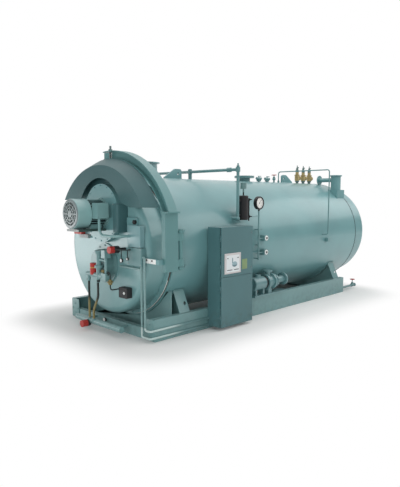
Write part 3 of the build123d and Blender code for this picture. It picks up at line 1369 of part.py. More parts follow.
# Gauge glass beside the column, between its two cocks
with BuildPart() as gauge_glass:
    upright(CROSS_X, GLASS_Y, (GLASS_LOW_Z, GLASS_HIGH_Z), GLASS_R)
    for z in (GLASS_LOW_Z, GLASS_HIGH_Z):
        lengthwise(CROSS_X, (COLUMN_Y, GLASS_Y + 3 * GLASS_R), z, 1.4 * GLASS_R)
        upright(CROSS_X, GLASS_Y, (z - 2 * GLASS_R, z + 2 * GLASS_R), 1.9 * GLASS_R)
        crosswise((CROSS_X, CROSS_X + 6 * GLASS_R), GLASS_Y, z, 0.8 * GLASS_R)
    upright(CROSS_X, GLASS_Y, (GLASS_LOW_Z - 7 * GLASS_R, GLASS_LOW_Z), GLASS_R)
    upright(CROSS_X, COLUMN_Y, (COLUMN_LOW_Z, COLUMN_HIGH_Z), COLUMN_R + SEAT, Mode.SUBTRACT)
save(gauge_glass.part, "gauge_glass")

# Pressure gauge, its dial turned to the right, on a stem above the standpipe
STAND_TOP_Z = GAUGE_Z - GAUGE_R - 2 * STAND_R
with BuildPart() as pressure_gauge:
    crosswise((GAUGE_X - GAUGE_T / 2, GAUGE_X + GAUGE_T / 2), GAUGE_Y, GAUGE_Z, GAUGE_R)
    fillet(pressure_gauge.edges().group_by(Axis.X)[-1], radius=GAUGE_T / 6)
    recess = (GAUGE_X + GAUGE_T / 4, GAUGE_X + GAUGE_T / 2)
    crosswise(recess, GAUGE_Y, GAUGE_Z, GAUGE_R - GAUGE_T / 3, Mode.SUBTRACT)
    upright(GAUGE_X, GAUGE_Y, (STAND_TOP_Z, GAUGE_Z - GAUGE_R + STAND_R), STAND_R)
save(pressure_gauge.part, "pressure_gauge")

# Standpipe with its clips, the line to the column, and two pressure switches, the lower one
# wired from the cabinet
with BuildPart() as gauge_tubing:
    upright(GAUGE_X, GAUGE_Y, (AXIS_Z - STAND_DROP, STAND_TOP_Z), STAND_R)
    clip_x = (GAUGE_X - STAND_R, GAUGE_X + STAND_R)
    for rise in CLIP_RISES:
        z = AXIS_Z + rise
        crosswise((0, GAUGE_X), GAUGE_Y, z, 0.8 * STAND_R)
        block(clip_x, (GAUGE_Y, GAUGE_Y + 6 * STAND_R), (z - STAND_R, z + STAND_R))
    for rise in SWITCH_RISES:
        z = AXIS_Z + rise
        lengthwise(GAUGE_X, (GAUGE_Y, SWITCH_Y), z, STAND_R / 2)
        block(
            (0, SHELL_R + SWITCH_OUT),
            (SWITCH_Y - SWITCH_W / 2, SWITCH_Y + SWITCH_W / 2),
            (z - SWITCH_H / 2, z + SWITCH_H / 2),
        )
    line_z = AXIS_Z + min(SWITCH_RISES)
    lengthwise(SHELL_R + SWITCH_LINE_OUT, (CABINET_END_Y, SWITCH_Y), line_z, SWITCH_LINE_R)
    lengthwise(GAUGE_X, (GLASS_Y + 3 * GLASS_R, GAUGE_Y), GLASS_LOW_Z, STAND_R / 2)
    seat_on_shell()
save(gauge_tubing.part, "gauge_tubing")

# Sensing line from the crown over to the right side
SENSE_Y = SHELL_END_Y - SENSE_INSET
SENSE_LOW_Z = AXIS_Z + SENSE_LOW_RISE
with BuildPart() as sensing_line:
    sense_x = SHELL_R + SENSE_OUT
    sense_top_z = CROWN_Z + SENSE_RISE
    root_z = CROWN_Z - SHELL_WALL
    sensor_z = SENSE_LOW_Z - SENSOR_DROP
    add(
        bent_tube(
            [
                (0, SENSE_Y, root_z),
                (0, SENSE_Y, sense_top_z),
                (sense_x, SENSE_Y, sense_top_z),
                (sense_x, SENSE_Y, SENSE_LOW_Z),
                (SHELL_R - SHELL_WALL, SENSE_Y, SENSE_LOW_Z),
            ],
            SENSE_R,
            SENSE_BEND,
        )
    )
    upright(0, SENSE_Y, (root_z, CROWN_Z + SENSE_BOSS_H), 2 * SENSE_R)
    block(
        (SHELL_R - SHELL_WALL, SHELL_R + SENSOR_OUT),
        (SENSE_Y + SENSOR_SHIFT, SENSE_Y + SENSOR_SHIFT + SENSOR_W),
        (sensor_z, sensor_z + SENSOR_W),
    )
    seat_on_shell()
save(sensing_line.part, "sensing_line")

# Feed pump: bed plate on the rail, motor, casing with flanged ends
PUMP_BED_TOP_Z = RAIL_H + PUMP_BED_T
PUMP_CASE_Y = PUMP_Y + PUMP_MOTOR_L
PUMP_CASE_END_Y = PUMP_CASE_Y + PUMP_CASE_L
PUMP_END_Y = PUMP_Y + PUMP_BED_L
foot_x = (PUMP_X - PUMP_FOOT_W / 2, PUMP_X + PUMP_FOOT_W / 2)
with BuildPart() as pump_bed:
    bed_x = (PUMP_X - PUMP_BED_W / 2, PUMP_X + PUMP_BED_W / 2)
    block(bed_x, (PUMP_Y, PUMP_END_Y), (RAIL_H, PUMP_BED_TOP_Z))
    for y in (PUMP_Y + PUMP_FOOT_INSET, PUMP_CASE_Y - PUMP_FOOT_INSET - PUMP_FOOT_T):
        block(foot_x, (y, y + PUMP_FOOT_T), (PUMP_BED_TOP_Z, PUMP_Z))
    lengthwise(PUMP_X, (PUMP_Y, PUMP_CASE_Y), PUMP_Z, PUMP_MOTOR_R + SEAT, Mode.SUBTRACT)
save(pump_bed.part, "pump_bed")

with BuildPart() as pump_motor:
    lengthwise(PUMP_X, (PUMP_Y, PUMP_CASE_Y), PUMP_Z, PUMP_MOTOR_R)
    fillet(pump_motor.edges().group_by(Axis.Y)[0], radius=PUMP_MOTOR_EDGE)
    box_top_z = PUMP_Z + PUMP_MOTOR_R + PUMP_BOX_H
    upright(PUMP_X, PUMP_Y + PUMP_MOTOR_L / 2, (PUMP_Z, box_top_z), PUMP_BOX_R)
save(pump_motor.part, "pump_motor")

with BuildPart() as pump_body:
    lengthwise(PUMP_X, (PUMP_CASE_Y, PUMP_CASE_END_Y), PUMP_Z, PUMP_CASE_R)
    for y in (PUMP_CASE_Y, PUMP_CASE_END_Y - PUMP_RING_T):
        lengthwise(PUMP_X, (y, y + PUMP_RING_T), PUMP_Z, PUMP_RING_R)
    lengthwise(PUMP_X, (PUMP_CASE_END_Y, PUMP_END_Y), PUMP_Z, PUMP_NECK_R)
    for y in (PUMP_CASE_END_Y + PUMP_FLANGE_GAP, PUMP_END_Y - PUMP_FLANGE_T):
        lengthwise(PUMP_X, (y, y + PUMP_FLANGE_T), PUMP_Z, PUMP_FLANGE_R)
    branch_y = (PUMP_CASE_Y + PUMP_CASE_END_Y) / 2
    branch_z = PUMP_Z + PUMP_RING_R + PUMP_BRANCH_RISE
    upright(PUMP_X, branch_y, (PUMP_Z, branch_z), PUMP_BRANCH_R)
    upright(PUMP_X, branch_y, (branch_z - PUMP_BRANCH_FLANGE_T, branch_z), PUMP_BRANCH_FLANGE_R)
    cradle_y = (branch_y - PUMP_CRADLE_L / 2, branch_y + PUMP_CRADLE_L / 2)
    block(foot_x, cradle_y, (PUMP_BED_TOP_Z, PUMP_Z))
save(pump_body.part, "pump_body")

# Blowdown line behind the right rail, clamped inside the channel, with its stop valve
BLOW_X = RAIL_OUTER_X - BLOW_INSET
BLOW_START_Y = RAIL_END_Y - BLOW_LAP
BLOW_END_Y = RAIL_END_Y + BLOW_REACH
BLOW_VALVE_Y = BLOW_END_Y - BLOW_VALVE_INSET
BLOW_WHEEL_Z = BLOW_Z + BLOW_WHEEL_RISE
with BuildPart() as blowdown_line:
    lengthwise(BLOW_X, (BLOW_START_Y, BLOW_END_Y), BLOW_Z, BLOW_R)
    block(
        (BLOW_X, RAIL_OUTER_X - RAIL_WEB),
        (BLOW_START_Y, BLOW_START_Y + BLOW_CLAMP_W),
        (BLOW_Z - BLOW_CLAMP_W / 2, BLOW_Z + BLOW_CLAMP_W / 2),
    )
    lengthwise(BLOW_X, (BLOW_END_Y - BLOW_R, BLOW_END_Y), BLOW_Z, BLOW_COLLAR_R)
    body_y = (BLOW_VALVE_Y - BLOW_BODY_L / 2, BLOW_VALVE_Y + BLOW_BODY_L / 2)
    lengthwise(BLOW_X, body_y, BLOW_Z, BLOW_BODY_R)
    stop_valve(BLOW_X, BLOW_VALVE_Y, BLOW_Z, BLOW_Z + STOP_BODY_R / 2, BLOW_WHEEL_Z)
save(blowdown_line.part, "blowdown_line")
save(handwheel(BLOW_X, BLOW_VALVE_Y, BLOW_WHEEL_Z), "blowdown_handwheel")
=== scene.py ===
import math

import bmesh
import bpy
from mathutils import Matrix, Vector


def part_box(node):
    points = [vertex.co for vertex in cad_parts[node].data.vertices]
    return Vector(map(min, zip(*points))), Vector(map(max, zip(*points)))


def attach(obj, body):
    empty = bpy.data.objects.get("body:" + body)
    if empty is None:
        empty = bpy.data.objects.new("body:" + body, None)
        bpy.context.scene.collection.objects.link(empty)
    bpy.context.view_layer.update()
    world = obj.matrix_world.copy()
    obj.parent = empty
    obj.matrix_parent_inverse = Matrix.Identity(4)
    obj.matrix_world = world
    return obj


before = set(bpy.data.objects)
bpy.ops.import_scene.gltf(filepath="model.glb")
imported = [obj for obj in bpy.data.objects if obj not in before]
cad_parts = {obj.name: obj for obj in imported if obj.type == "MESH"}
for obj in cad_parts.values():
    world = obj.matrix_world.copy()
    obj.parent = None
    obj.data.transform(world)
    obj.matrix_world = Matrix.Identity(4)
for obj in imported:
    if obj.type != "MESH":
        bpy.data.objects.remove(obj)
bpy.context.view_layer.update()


# The skid is two folded channel rails tied by crossmembers, with a saddle of bent plate at each end, an apron
# across the front that is cut to the shell's round, and a bolted plate over the front end of each rail.
# It is mild steel, welded together, primed, and sprayed with a greyer coat of the vessel's enamel.
class Wire:
    """A node's socket. Operators on wires add Math nodes, and node() adds any other node."""

    def __init__(self, tree, socket):
        self.tree = tree
        self.socket = socket

    def node(self, kind, settings={}, values={}, output=0):
        """A new node with these settings and inputs; a list links several wires to one input."""
        made = self.tree.nodes.new(kind)
        for name, setting in settings.items():
            setattr(made, name, setting)
        for key, value in values.items():
            for one in value if isinstance(value, list) else [value]:
                if isinstance(one, Wire):
                    self.tree.links.new(one.socket, made.inputs[key])
                else:
                    made.inputs[key].default_value = one
        return Wire(self.tree, made.outputs[output])

    def math(self, operation, second=0.0, first=None):
        first = self if first is None else first
        return self.node("ShaderNodeMath", {"operation": operation}, {0: first, 1: second})

    def __add__(self, other):
        return self.math("ADD", other)

    def __mul__(self, other):
        return self.math("MULTIPLY", other)

    def __sub__(self, other):
        return self.math("SUBTRACT", other)

    def __rsub__(self, other):
        return self.math("SUBTRACT", self, other)

    def __truediv__(self, other):
        return self.math("DIVIDE", other)

    def __rtruediv__(self, other):
        return self.math("DIVIDE", self, other)

    def __pow__(self, other):
        return self.math("POWER", other)

    __radd__ = __add__
    __rmul__ = __mul__

    def hypot(self, other):
        """How far a point lies from an axis, from its two offsets."""
        return (self * self + other * other) ** 0.5

    def ramp(self, low, high):
        """A smooth step from 0 at low to 1 at high; low may be the larger."""
        steps = {0: self, 1: low, 2: high}
        return self.node("ShaderNodeMapRange", {"interpolation_type": "SMOOTHSTEP"}, steps)

    def within(self, low, high, soft=0.0006):
        """1 between low and high, 0 outside, with a narrow soft edge."""
        return self.ramp(low - soft, low + soft) * self.ramp(high + soft, high - soft)

    def mix(self, colour, other):
        """The first colour where this wire is 0, the other where it is 1."""
        return self.node("ShaderNodeMix", {"data_type": "RGBA"}, {0: self, 6: colour, 7: other}, 2)

    def noise(self, scale, detail=2.0):
        return self.node("ShaderNodeTexNoise", {}, {"Vector": self, "Scale": scale, "Detail": detail})

    def axes(self):
        made = self.node("ShaderNodeSeparateXYZ", {}, {0: self}).socket.node
        return [Wire(self.tree, output) for output in made.outputs]


def srgb(red, green, blue):
    """A colour as a screen shows it, 0 to 255, in the linear values that a shader takes."""
    shares = [value / 255 for value in (red, green, blue)]
    return tuple(s / 12.92 if s <= 0.04045 else ((s + 0.055) / 1.055) ** 2.4 for s in shares) + (1.0,)


def toned(shade, factor):
    return tuple(channel * factor for channel in shade[:3]) + (1.0,)


def new_finish(name):
    """A material, its shader, and a wire with the object's own coordinates in metres."""
    material = bpy.data.materials.new(name)
    material.use_nodes = True
    tree = material.node_tree
    place = Wire(tree, tree.nodes.new("ShaderNodeTexCoord").outputs["Object"])
    return material, tree.nodes["Principled BSDF"], place


def feed(shader, place, colour, roughness, relief, depth, fixed={}):
    """Links colour, roughness and relief to the shader, and sets its constant sockets."""
    bump = place.node("ShaderNodeBump", {}, {"Height": relief, "Distance": depth})
    for name, wire in (("Base Color", colour), ("Roughness", roughness), ("Normal", bump)):
        place.tree.links.new(wire.socket, shader.inputs[name])
    for name, value in fixed.items():
        shader.inputs[name].default_value = value


DUST, SOIL = srgb(196, 200, 194), srgb(84, 88, 82)
SOIL_TOP, SOIL_FOOT = 0.42, 0.02
DRIFT_SCALE, FLECK_SCALE, DUST_SCALE, SOIL_SCALE = 1.3, 55.0, 9.0, 13.0
PEEL_SCALE, PEEL_DEPTH, COAT_ROUGHNESS = 330.0, 0.00025, 0.20


def enamel(name, shade, gloss=0.40, soiling=0.35, overlay=None, clear=0.55):
    """Sprayed enamel: slow drift of tone, orange peel, dust on top and soil near the floor."""
    material, shader, place = new_finish(name)
    height = place.axes()[2]
    upward = place.node("ShaderNodeNewGeometry", output="Normal").axes()[2]
    drift = place.noise(DRIFT_SCALE, 4.0).ramp(0.35, 0.65)
    fleck = place.noise(FLECK_SCALE).ramp(0.66, 0.76)
    dust = upward.ramp(0.82, 1.0) * place.noise(DUST_SCALE, 5.0).ramp(0.30, 0.80)
    soil = height.ramp(SOIL_TOP, SOIL_FOOT) * place.noise(SOIL_SCALE, 5.0).ramp(0.35, 0.75)
    colour = drift.mix(toned(shade, 0.95), toned(shade, 1.05))
    colour = (fleck * 0.16).mix(colour, toned(shade, 0.75))
    colour = (dust * 0.22).mix(colour, DUST)
    colour = (soil * soiling).mix(colour, SOIL)
    if overlay:
        colour = overlay(place, colour)
    roughness = gloss + drift * 0.04 + dust * 0.16 + soil * 0.20
    clear_coat = {"Coat Weight": clear, "Coat Roughness": COAT_ROUGHNESS}
    feed(shader, place, colour, roughness, place.noise(PEEL_SCALE), PEEL_DEPTH, clear_coat)
    return material


def coat(material, *names):
    """Gives CAD nodes a finish, in their own material slots."""
    for name in names:
        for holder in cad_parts[name].material_slots:
            holder.material = material


SOCKETS = {"count": "Int", "columns": "Int", "rows": "Int", "size": "Vector", "finish": "Material"}


def new_tree(name, *labels):
    """A Geometry Nodes tree with named inputs, and the wires that those inputs give."""
    tree = bpy.data.node_groups.new(name, "GeometryNodeTree")
    tree.interface.new_socket("path", in_out="INPUT", socket_type="NodeSocketGeometry")
    for label in labels:
        kind = SOCKETS.get(label, "Float")
        tree.interface.new_socket(label, in_out="INPUT", socket_type="NodeSocket" + kind)
    tree.interface.new_socket("made", in_out="OUTPUT", socket_type="NodeSocketGeometry")
    entry = tree.nodes.new("NodeGroupInput")
    return tree, {socket.name: Wire(tree, socket) for socket in entry.outputs if socket.name}


def close_tree(made, finish):
    """Ends a tree with its instances realized and its finish set."""
    solid = made.node("GeometryNodeRealizeInstances", {}, {"Geometry": made})
    coated = made.node("GeometryNodeSetMaterial", {}, {"Geometry": solid, "Material": finish})
    made.tree.links.new(coated.socket, made.tree.nodes.new("NodeGroupOutput").inputs[0])


def rod(wire, sides, radius, depth):
    return wire.node("GeometryNodeMeshCylinder", {}, {"Vertices": sides, "Radius": radius, "Depth": depth})


def turned_by(wire, **angles):
    """A rotation from the wires of its angles about X, Y or Z."""
    turn = wire.node("ShaderNodeCombineXYZ", {}, angles)
    return wire.node("FunctionNodeEulerToRotation", {}, {"Euler": turn})


def set_on(spots, shape, **more):
    """A copy of a shape on each spot."""
    return spots.node("GeometryNodeInstanceOnPoints", {}, {"Points": spots, "Instance": shape, **more})


def grow(tree, path=None, **values):
    """The plain mesh that a tree makes from these inputs."""
    carrier = bpy.data.objects.new("carrier", path or bpy.data.meshes.new("carrier"))
    bpy.context.scene.collection.objects.link(carrier)
    modifier = carrier.modifiers.new("grow", "NODES")
    modifier.node_group = tree
    for item in tree.interface.items_tree:
        if item.in_out == "INPUT" and item.name in values:
            modifier[item.identifier] = values[item.name]
    evaluated = carrier.evaluated_get(bpy.context.evaluated_depsgraph_get())
    mesh = bpy.data.meshes.new_from_object(evaluated)
    carrier.modifiers.remove(modifier)
    bpy.data.objects.remove(carrier)
    return mesh


def as_mesh(made, name):
    """Turns a bmesh into a mesh and frees it."""
    mesh = bpy.data.meshes.new(name)
    made.to_mesh(mesh)
    made.free()
    return mesh


SHARP_ANGLE = math.radians(32)


def piece(name, meshes, finish, body):
    """Joins meshes into one object at the origin, which rides on a body."""
    joined = bmesh.new()
    for mesh in meshes:
        joined.from_mesh(mesh)
    whole = as_mesh(joined, name)
    whole.materials.clear()
    whole.materials.append(finish)
    whole.shade_smooth()
    whole.set_sharp_from_angle(angle=SHARP_ANGLE)
    thing = bpy.data.objects.new(name, whole)
    bpy.context.scene.collection.objects.link(thing)
    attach(thing, body)


def slab(low, high, round_edge):
    """A flat plate between two corners, with its edges rounded."""
    made = bmesh.new()
    low, high = Vector(low), Vector(high)
    place = Matrix.Translation((low + high) / 2) @ Matrix.Diagonal((*(high - low), 1))
    bmesh.ops.create_cube(made, size=1.0, matrix=place)
    bmesh.ops.bevel(made, geom=made.edges[:], offset=round_edge, segments=3, affect="EDGES", profile=0.5)
    return as_mesh(made, "slab")


FORWARD = (0, -1, 0)


def seated(mesh, centre, axis):
    """The mesh with its Z turned along axis and its origin moved to centre."""
    turn = Vector(axis).to_track_quat("Z", "Y").to_matrix().to_4x4()
    mesh.transform(Matrix.Translation(centre) @ turn)
    return mesh


bolt_ring, given = new_tree("bolt_ring", "count", "pitch_radius", "head", "finish")
count, head = given["count"], given["head"]
spots = count.node("GeometryNodeMeshCircle", {}, {"Vertices": count, "Radius": given["pitch_radius"]})
spin = count.node("GeometryNodeInputIndex") * math.tau / count
washer = rod(head, 14, head * 1.5, head * 0.4)
nut = rod(head, 6, head * 1.2, head * 1.7)
stud = rod(head, 10, head * 0.6, head * 2.4)
bolt = head.node("GeometryNodeJoinGeometry", {}, {0: [washer, nut, stud]})
close_tree(set_on(spots, bolt, Rotation=turned_by(count, Z=spin)), given["finish"])


def bolt_circle(count, pitch_radius, head, finish, centre, axis):
    """Bolts with nuts and washers round a pitch circle, seated on a face."""
    ring = grow(bolt_ring, count=count, pitch_radius=pitch_radius, head=head, finish=finish)
    return seated(ring, centre, axis)


RAILS = ("base_rail_right", "base_rail_left", "front_crossmember", "rear_crossmember")
SADDLES = ("front_saddle", "rear_saddle")
skid_enamel = enamel("skid_enamel", srgb(110, 150, 151), 0.45, 0.22)
coat(skid_enamel, *RAILS, *SADDLES)
shell_low, shell_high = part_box("shell_jacket")
shell_radius = (shell_high.x - shell_low.x) / 2
axis_z = shell_high.z - shell_radius
rail_low, rail_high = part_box("base_rail_right")
APRON_SETBACK, APRON_PLATE, APRON_FOOT, APRON_TOP = 0.012, 0.010, 0.012, 0.640
SHELL_GAP, RAIL_GAP = 0.006, 0.002


def apron_plate(steps=48):
    """A flat plate across the skid, with its top edge cut to the shell's round."""
    made = bmesh.new()
    radius = shell_radius + SHELL_GAP
    reach = rail_low.x - RAIL_GAP
    front = shell_low.y + APRON_SETBACK
    xs = [reach * (2 * i / steps - 1) for i in range(steps + 1)]
    outline = [(x, min(axis_z - math.sqrt(radius ** 2 - x ** 2), APRON_TOP)) for x in xs]
    outline += [(reach, APRON_FOOT), (-reach, APRON_FOOT)]
    near = [made.verts.new((x, front, z)) for x, z in outline]
    far = [made.verts.new((x, front + APRON_PLATE, z)) for x, z in outline]
    for i in range(len(outline)):
        j = (i + 1) % len(outline)
        made.faces.new((near[i], near[j], far[j], far[i]))
    made.faces.new(near)
    made.faces.new(far)
    bmesh.ops.triangulate(made, faces=[face for face in made.faces if len(face.verts) > 4])
    bmesh.ops.recalc_face_normals(made, faces=made.faces)
    return as_mesh(made, "apron")


piece("skid_apron", [apron_plate()], skid_enamel, "boiler")
END_WIDTH, END_PLATE, END_FOOT, END_DROP, END_SEAT, END_EDGE = 0.214, 0.012, 0.008, 0.006, 0.0005, 0.003
END_BOLTS, END_PITCH, END_HEAD = 4, 0.075, 0.009
end_face = rail_low.y - END_PLATE
end_plates = []
for side in (1, -1):
    inner, outer = sorted((side * (rail_high.x - END_WIDTH), side * rail_high.x))
    low, high = (inner, end_face, END_FOOT), (outer, rail_low.y - END_SEAT, rail_high.z - END_DROP)
    middle = ((inner + outer) / 2, end_face, rail_high.z / 2)
    end_plates.append(slab(low, high, END_EDGE))
    end_plates.append(bolt_circle(END_BOLTS, END_PITCH, END_HEAD, skid_enamel, middle, FORWARD))
piece("rail_end_plates", end_plates, skid_enamel, "boiler")


# The shell is the rolled and welded pressure vessel in its steel jacket, with a smooth enamel coat.
# Nozzles, lugs and saddle bands meet it in rippled fillet welds, painted over with the rest.
vessel_enamel = enamel("vessel_enamel", srgb(108, 155, 158))
coat(vessel_enamel, "shell_jacket")


def bar_along(line, sides, radius, caps=True):
    """A round bar swept along a curve."""
    section = line.node("GeometryNodeCurvePrimitiveCircle", {}, {"Resolution": sides, "Radius": radius})
    sweep = {"Curve": line, "Profile Curve": section, "Fill Caps": caps}
    return line.node("GeometryNodeCurveToMesh", {}, sweep)


weld_bead, given = new_tree("weld_bead", "thickness", "ripple", "finish")
line = given["path"].node("GeometryNodeMeshToCurve", {}, {0: given["path"]})
line = line.node("GeometryNodeResampleCurve", {"mode": "LENGTH"}, {"Curve": line, "Length": given["ripple"]})
swell = line.node("GeometryNodeInputIndex").math("FLOORED_MODULO", 2.0) * 0.22 + 0.85
line = line.node("GeometryNodeSetCurveRadius", {}, {"Curve": line, "Radius": swell})
close_tree(bar_along(line, 7, given["thickness"]), given["finish"])


def rippled(points, thickness, ripple, finish, closed=False):
    """A round bar along a line of points, with a ripple at each step of its length."""
    line = bpy.data.meshes.new("path")
    edges = [(i, i + 1) for i in range(len(points) - 1)]
    if closed:
        edges.append((len(points) - 1, 0))
    line.from_pydata(points, edges, [])
    return grow(weld_bead, line, thickness=thickness, ripple=ripple, finish=finish)


def on_shell(x, y):
    return (x, y, axis_z + math.sqrt(shell_radius ** 2 - x ** 2))


def round_seam(node, radius, count=60):
    """The line where an upright round stub meets the shell."""
    low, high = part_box(node)
    x, y = (low.x + high.x) / 2, (low.y + high.y) / 2
    turns = [math.tau * i / count for i in range(count)]
    return [on_shell(x + radius * math.cos(t), y + radius * math.sin(t)) for t in turns]


def square_seam(node, margin, count=14):
    """The line round a piece with a rectangular foot on the shell."""
    low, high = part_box(node)
    x0, x1, y0, y1 = low.x - margin, high.x + margin, low.y - margin, high.y + margin
    corners = [(x0, y0), (x1, y0), (x1, y1), (x0, y1), (x0, y0)]
    points = []
    for (ax, ay), (bx, by) in zip(corners, corners[1:]):
        points += [on_shell(ax + (bx - ax) * i / count, ay + (by - ay) * i / count) for i in range(count)]
    return points


def band_seam(node, reach=math.radians(56.4), count=48):
    """The line round a saddle's bent band under the shell."""
    low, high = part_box(node)
    turns = [reach * (2 * i / count - 1) for i in range(count + 1)]
    arc = [(shell_radius * math.sin(t), axis_z - shell_radius * math.cos(t)) for t in turns]
    front = [(x, low.y, z) for x, z in arc]
    return front + [(x, high.y, z) for x, z in reversed(arc)]


FLUE_RADIUS, STEAM_RADIUS, STUB_GAP, LUG_GAP = 0.235, 0.1095, 0.003, 0.002
BEAD_THICKNESS, BEAD_RIPPLE = 0.007, 0.009
seams = [
    round_seam("flue_outlet", FLUE_RADIUS + STUB_GAP),
    round_seam("steam_nozzle", STEAM_RADIUS + STUB_GAP),
    square_seam("front_lifting_lug", LUG_GAP),
    square_seam("rear_lifting_lug", LUG_GAP),
    band_seam("front_saddle"),
    band_seam("rear_saddle"),
]
beads = [rippled(seam, BEAD_THICKNESS, BEAD_RIPPLE, vessel_enamel, True) for seam in seams]
piece("seam_welds", beads, vessel_enamel, "boiler")


# The rear head is a dished cover bolted to the shell's rear flange, with a round plug for access.
# Both are pressed plate in the vessel's enamel, with nuts on studs round a pitch circle. A thin dark ring
# round the seam where the jacket ends is painted shadow for the gap there.
CLOUD_SCALE = 17.0


def surface(name, shade, roughness, metallic=0.0, grain=120.0, depth=0.0004, mottle=0.16, fixed={}):
    """A small part's finish: mottled colour with fine grain. shade may be a function of place."""
    material, shader, place = new_finish(name)
    cloud = place.noise(CLOUD_SCALE, 5.0).ramp(0.30, 0.70)
    speck = place.noise(grain, 3.0)
    if callable(shade):
        colour = shade(place)
    else:
        colour = cloud.mix(toned(shade, 1 - mottle), toned(shade, 1 + mottle))
    colour = (speck.ramp(0.58, 0.72) * mottle).mix(colour, SOIL)
    feed(shader, place, colour, roughness + cloud * 0.12, speck, depth, {"Metallic": metallic, **fixed})
    return material


def lathe(profile, steps=56):
    """A solid of revolution about Z from (radius, height) points; the outline closes on itself."""
    made = bmesh.new()
    rings = []
    for radius, height in profile:
        turns = [math.tau * i / steps for i in range(steps)]
        rings.append([made.verts.new((radius * math.cos(t), radius * math.sin(t), height)) for t in turns])
    for one, other in zip(rings, rings[1:] + rings[:1]):
        for i in range(steps):
            j = (i + 1) % steps
            made.faces.new((one[i], one[j], other[j], other[i]))
    bmesh.ops.remove_doubles(made, verts=made.verts, dist=1e-6)
    bmesh.ops.dissolve_degenerate(made, edges=made.edges, dist=1e-7)
    bmesh.ops.recalc_face_normals(made, faces=made.faces)
    return as_mesh(made, "lathe")


REARWARD = (0, 1, 0)
FLANGE_PITCH, FLANGE_BOLTS, REAR_FLANGE, REAR_NUT = 1.012, 40, 0.036, 0.013
PLUG_PITCH, PLUG_BOLTS, PLUG_DEPTH, PLUG_NUT = 0.235, 12, 0.036, 0.012
SEAM_WIDTH, SEAM_PROUD, SEAM_DEPTH, SEAM_STEPS = 0.022, 0.0015, 0.008, 120
coat(vessel_enamel, "rear_head")
furnace_low, furnace_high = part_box("furnace")
furnace_z = (furnace_low.z + furnace_high.z) / 2
flange_middle = (0, shell_high.y + REAR_FLANGE, axis_z)
plug_middle = (0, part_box("rear_head")[1].y - PLUG_DEPTH, furnace_z)
rear_nuts = [
    bolt_circle(FLANGE_BOLTS, FLANGE_PITCH, REAR_NUT, vessel_enamel, flange_middle, REARWARD),
    bolt_circle(PLUG_BOLTS, PLUG_PITCH, PLUG_NUT, vessel_enamel, plug_middle, REARWARD),
]
piece("rear_head_nuts", rear_nuts, vessel_enamel, "boiler")
# A dark ring just proud of the rear seam: painted shadow of the gap where the jacket ends.
seam_painted_shadow = surface("seam_painted_shadow", srgb(52, 78, 82), 0.7)
shadow_ring_inner, shadow_ring_outer = shell_radius - SEAM_DEPTH, shell_radius + SEAM_PROUD
seam_ring = lathe(
    [(shadow_ring_inner, -SEAM_WIDTH), (shadow_ring_outer, -SEAM_WIDTH), (shadow_ring_outer, 0.0), (shadow_ring_inner, 0.0)], SEAM_STEPS)
seam_ring = seated(seam_ring, (0, shell_high.y, axis_z), REARWARD)
piece("rear_seam_painted_shadow", [seam_ring], seam_painted_shadow, "boiler")


# The front tubesheet is thick plate, drilled for the furnace and for rows of fire tubes.
# Each tube is rolled into its hole and beaded over, and the faces are brown with heat and soot.
NEST_STEPS, ROW_RISE = 24, math.sqrt(0.75)
TUBE_PITCH, TUBE_RADIUS, NEST_REACH, FURNACE_CLEAR = 0.092, 0.030, 0.89, 0.49


def grid_spots(wire, columns, rows, width, height):
    """The points of a flat grid."""
    sizes = {"Size X": width, "Size Y": height, "Vertices X": columns, "Vertices Y": rows}
    return wire.node("GeometryNodeMeshGrid", {}, sizes)


def tube_nest(name, tip):
    """A tree that sets a tube end on each spot of a staggered grid, clear of the furnace."""
    tree, given = new_tree(name, "pitch", "reach", "furnace_drop", "furnace_clear", "tube", "finish")
    pitch = given["pitch"]
    across = pitch * float(NEST_STEPS)
    spots = grid_spots(pitch, NEST_STEPS + 1, NEST_STEPS + 1, across, across * ROW_RISE)
    x, y = pitch.node("GeometryNodeInputPosition").axes()[:2]
    row = (y / (pitch * ROW_RISE)).math("ROUND")
    stagger = pitch.node("ShaderNodeCombineXYZ", {}, {"X": row.math("FLOORED_MODULO", 2.0) * pitch * 0.5})
    spots = pitch.node("GeometryNodeSetPosition", {}, {"Geometry": spots, "Offset": stagger})
    beyond = x.hypot(y).math("GREATER_THAN", given["reach"])
    mouth = x.hypot(y + given["furnace_drop"]).math("LESS_THAN", given["furnace_clear"])
    spots = pitch.node(
        "GeometryNodeDeleteGeometry", {"domain": "POINT"}, {"Geometry": spots, "Selection": beyond + mouth})
    close_tree(set_on(spots, tip(given["tube"])), given["finish"])
    return tree


def beaded_end(tube):
    hoop = tube.node("GeometryNodeCurvePrimitiveCircle", {}, {"Resolution": 20, "Radius": tube})
    return bar_along(hoop, 6, tube * 0.13, False)


def dark_bore(tube):
    return rod(tube, 20, tube * 0.9, tube * 0.06)


tube_steel = surface("tube_steel", srgb(128, 118, 106), 0.42, 0.75)
soot = surface("soot", srgb(30, 28, 27), 0.9)
plate_steel = surface("plate_steel", srgb(104, 96, 88), 0.5, 0.6, mottle=0.24)
fired_steel = surface("fired_steel", srgb(74, 62, 54), 0.7, 0.4, mottle=0.30)
coat(plate_steel, "front_tubesheet")
coat(fired_steel, "furnace")
tubesheet_middle = (0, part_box("front_tubesheet")[0].y, axis_z)
nest_sizes = {
    "pitch": TUBE_PITCH, "reach": NEST_REACH, "tube": TUBE_RADIUS,
    "furnace_drop": axis_z - furnace_z, "furnace_clear": FURNACE_CLEAR}
tube_lips = grow(tube_nest("tube_lips", beaded_end), finish=tube_steel, **nest_sizes)
tube_lips = seated(tube_lips, tubesheet_middle, FORWARD)
piece("fire_tube_ends", [tube_lips], tube_steel, "boiler")
tube_bores = grow(tube_nest("tube_bores", dark_bore), finish=soot, **nest_sizes)
tube_bores = seated(tube_bores, tubesheet_middle, FORWARD)
piece("fire_tube_bores", [tube_bores], soot, "boiler")


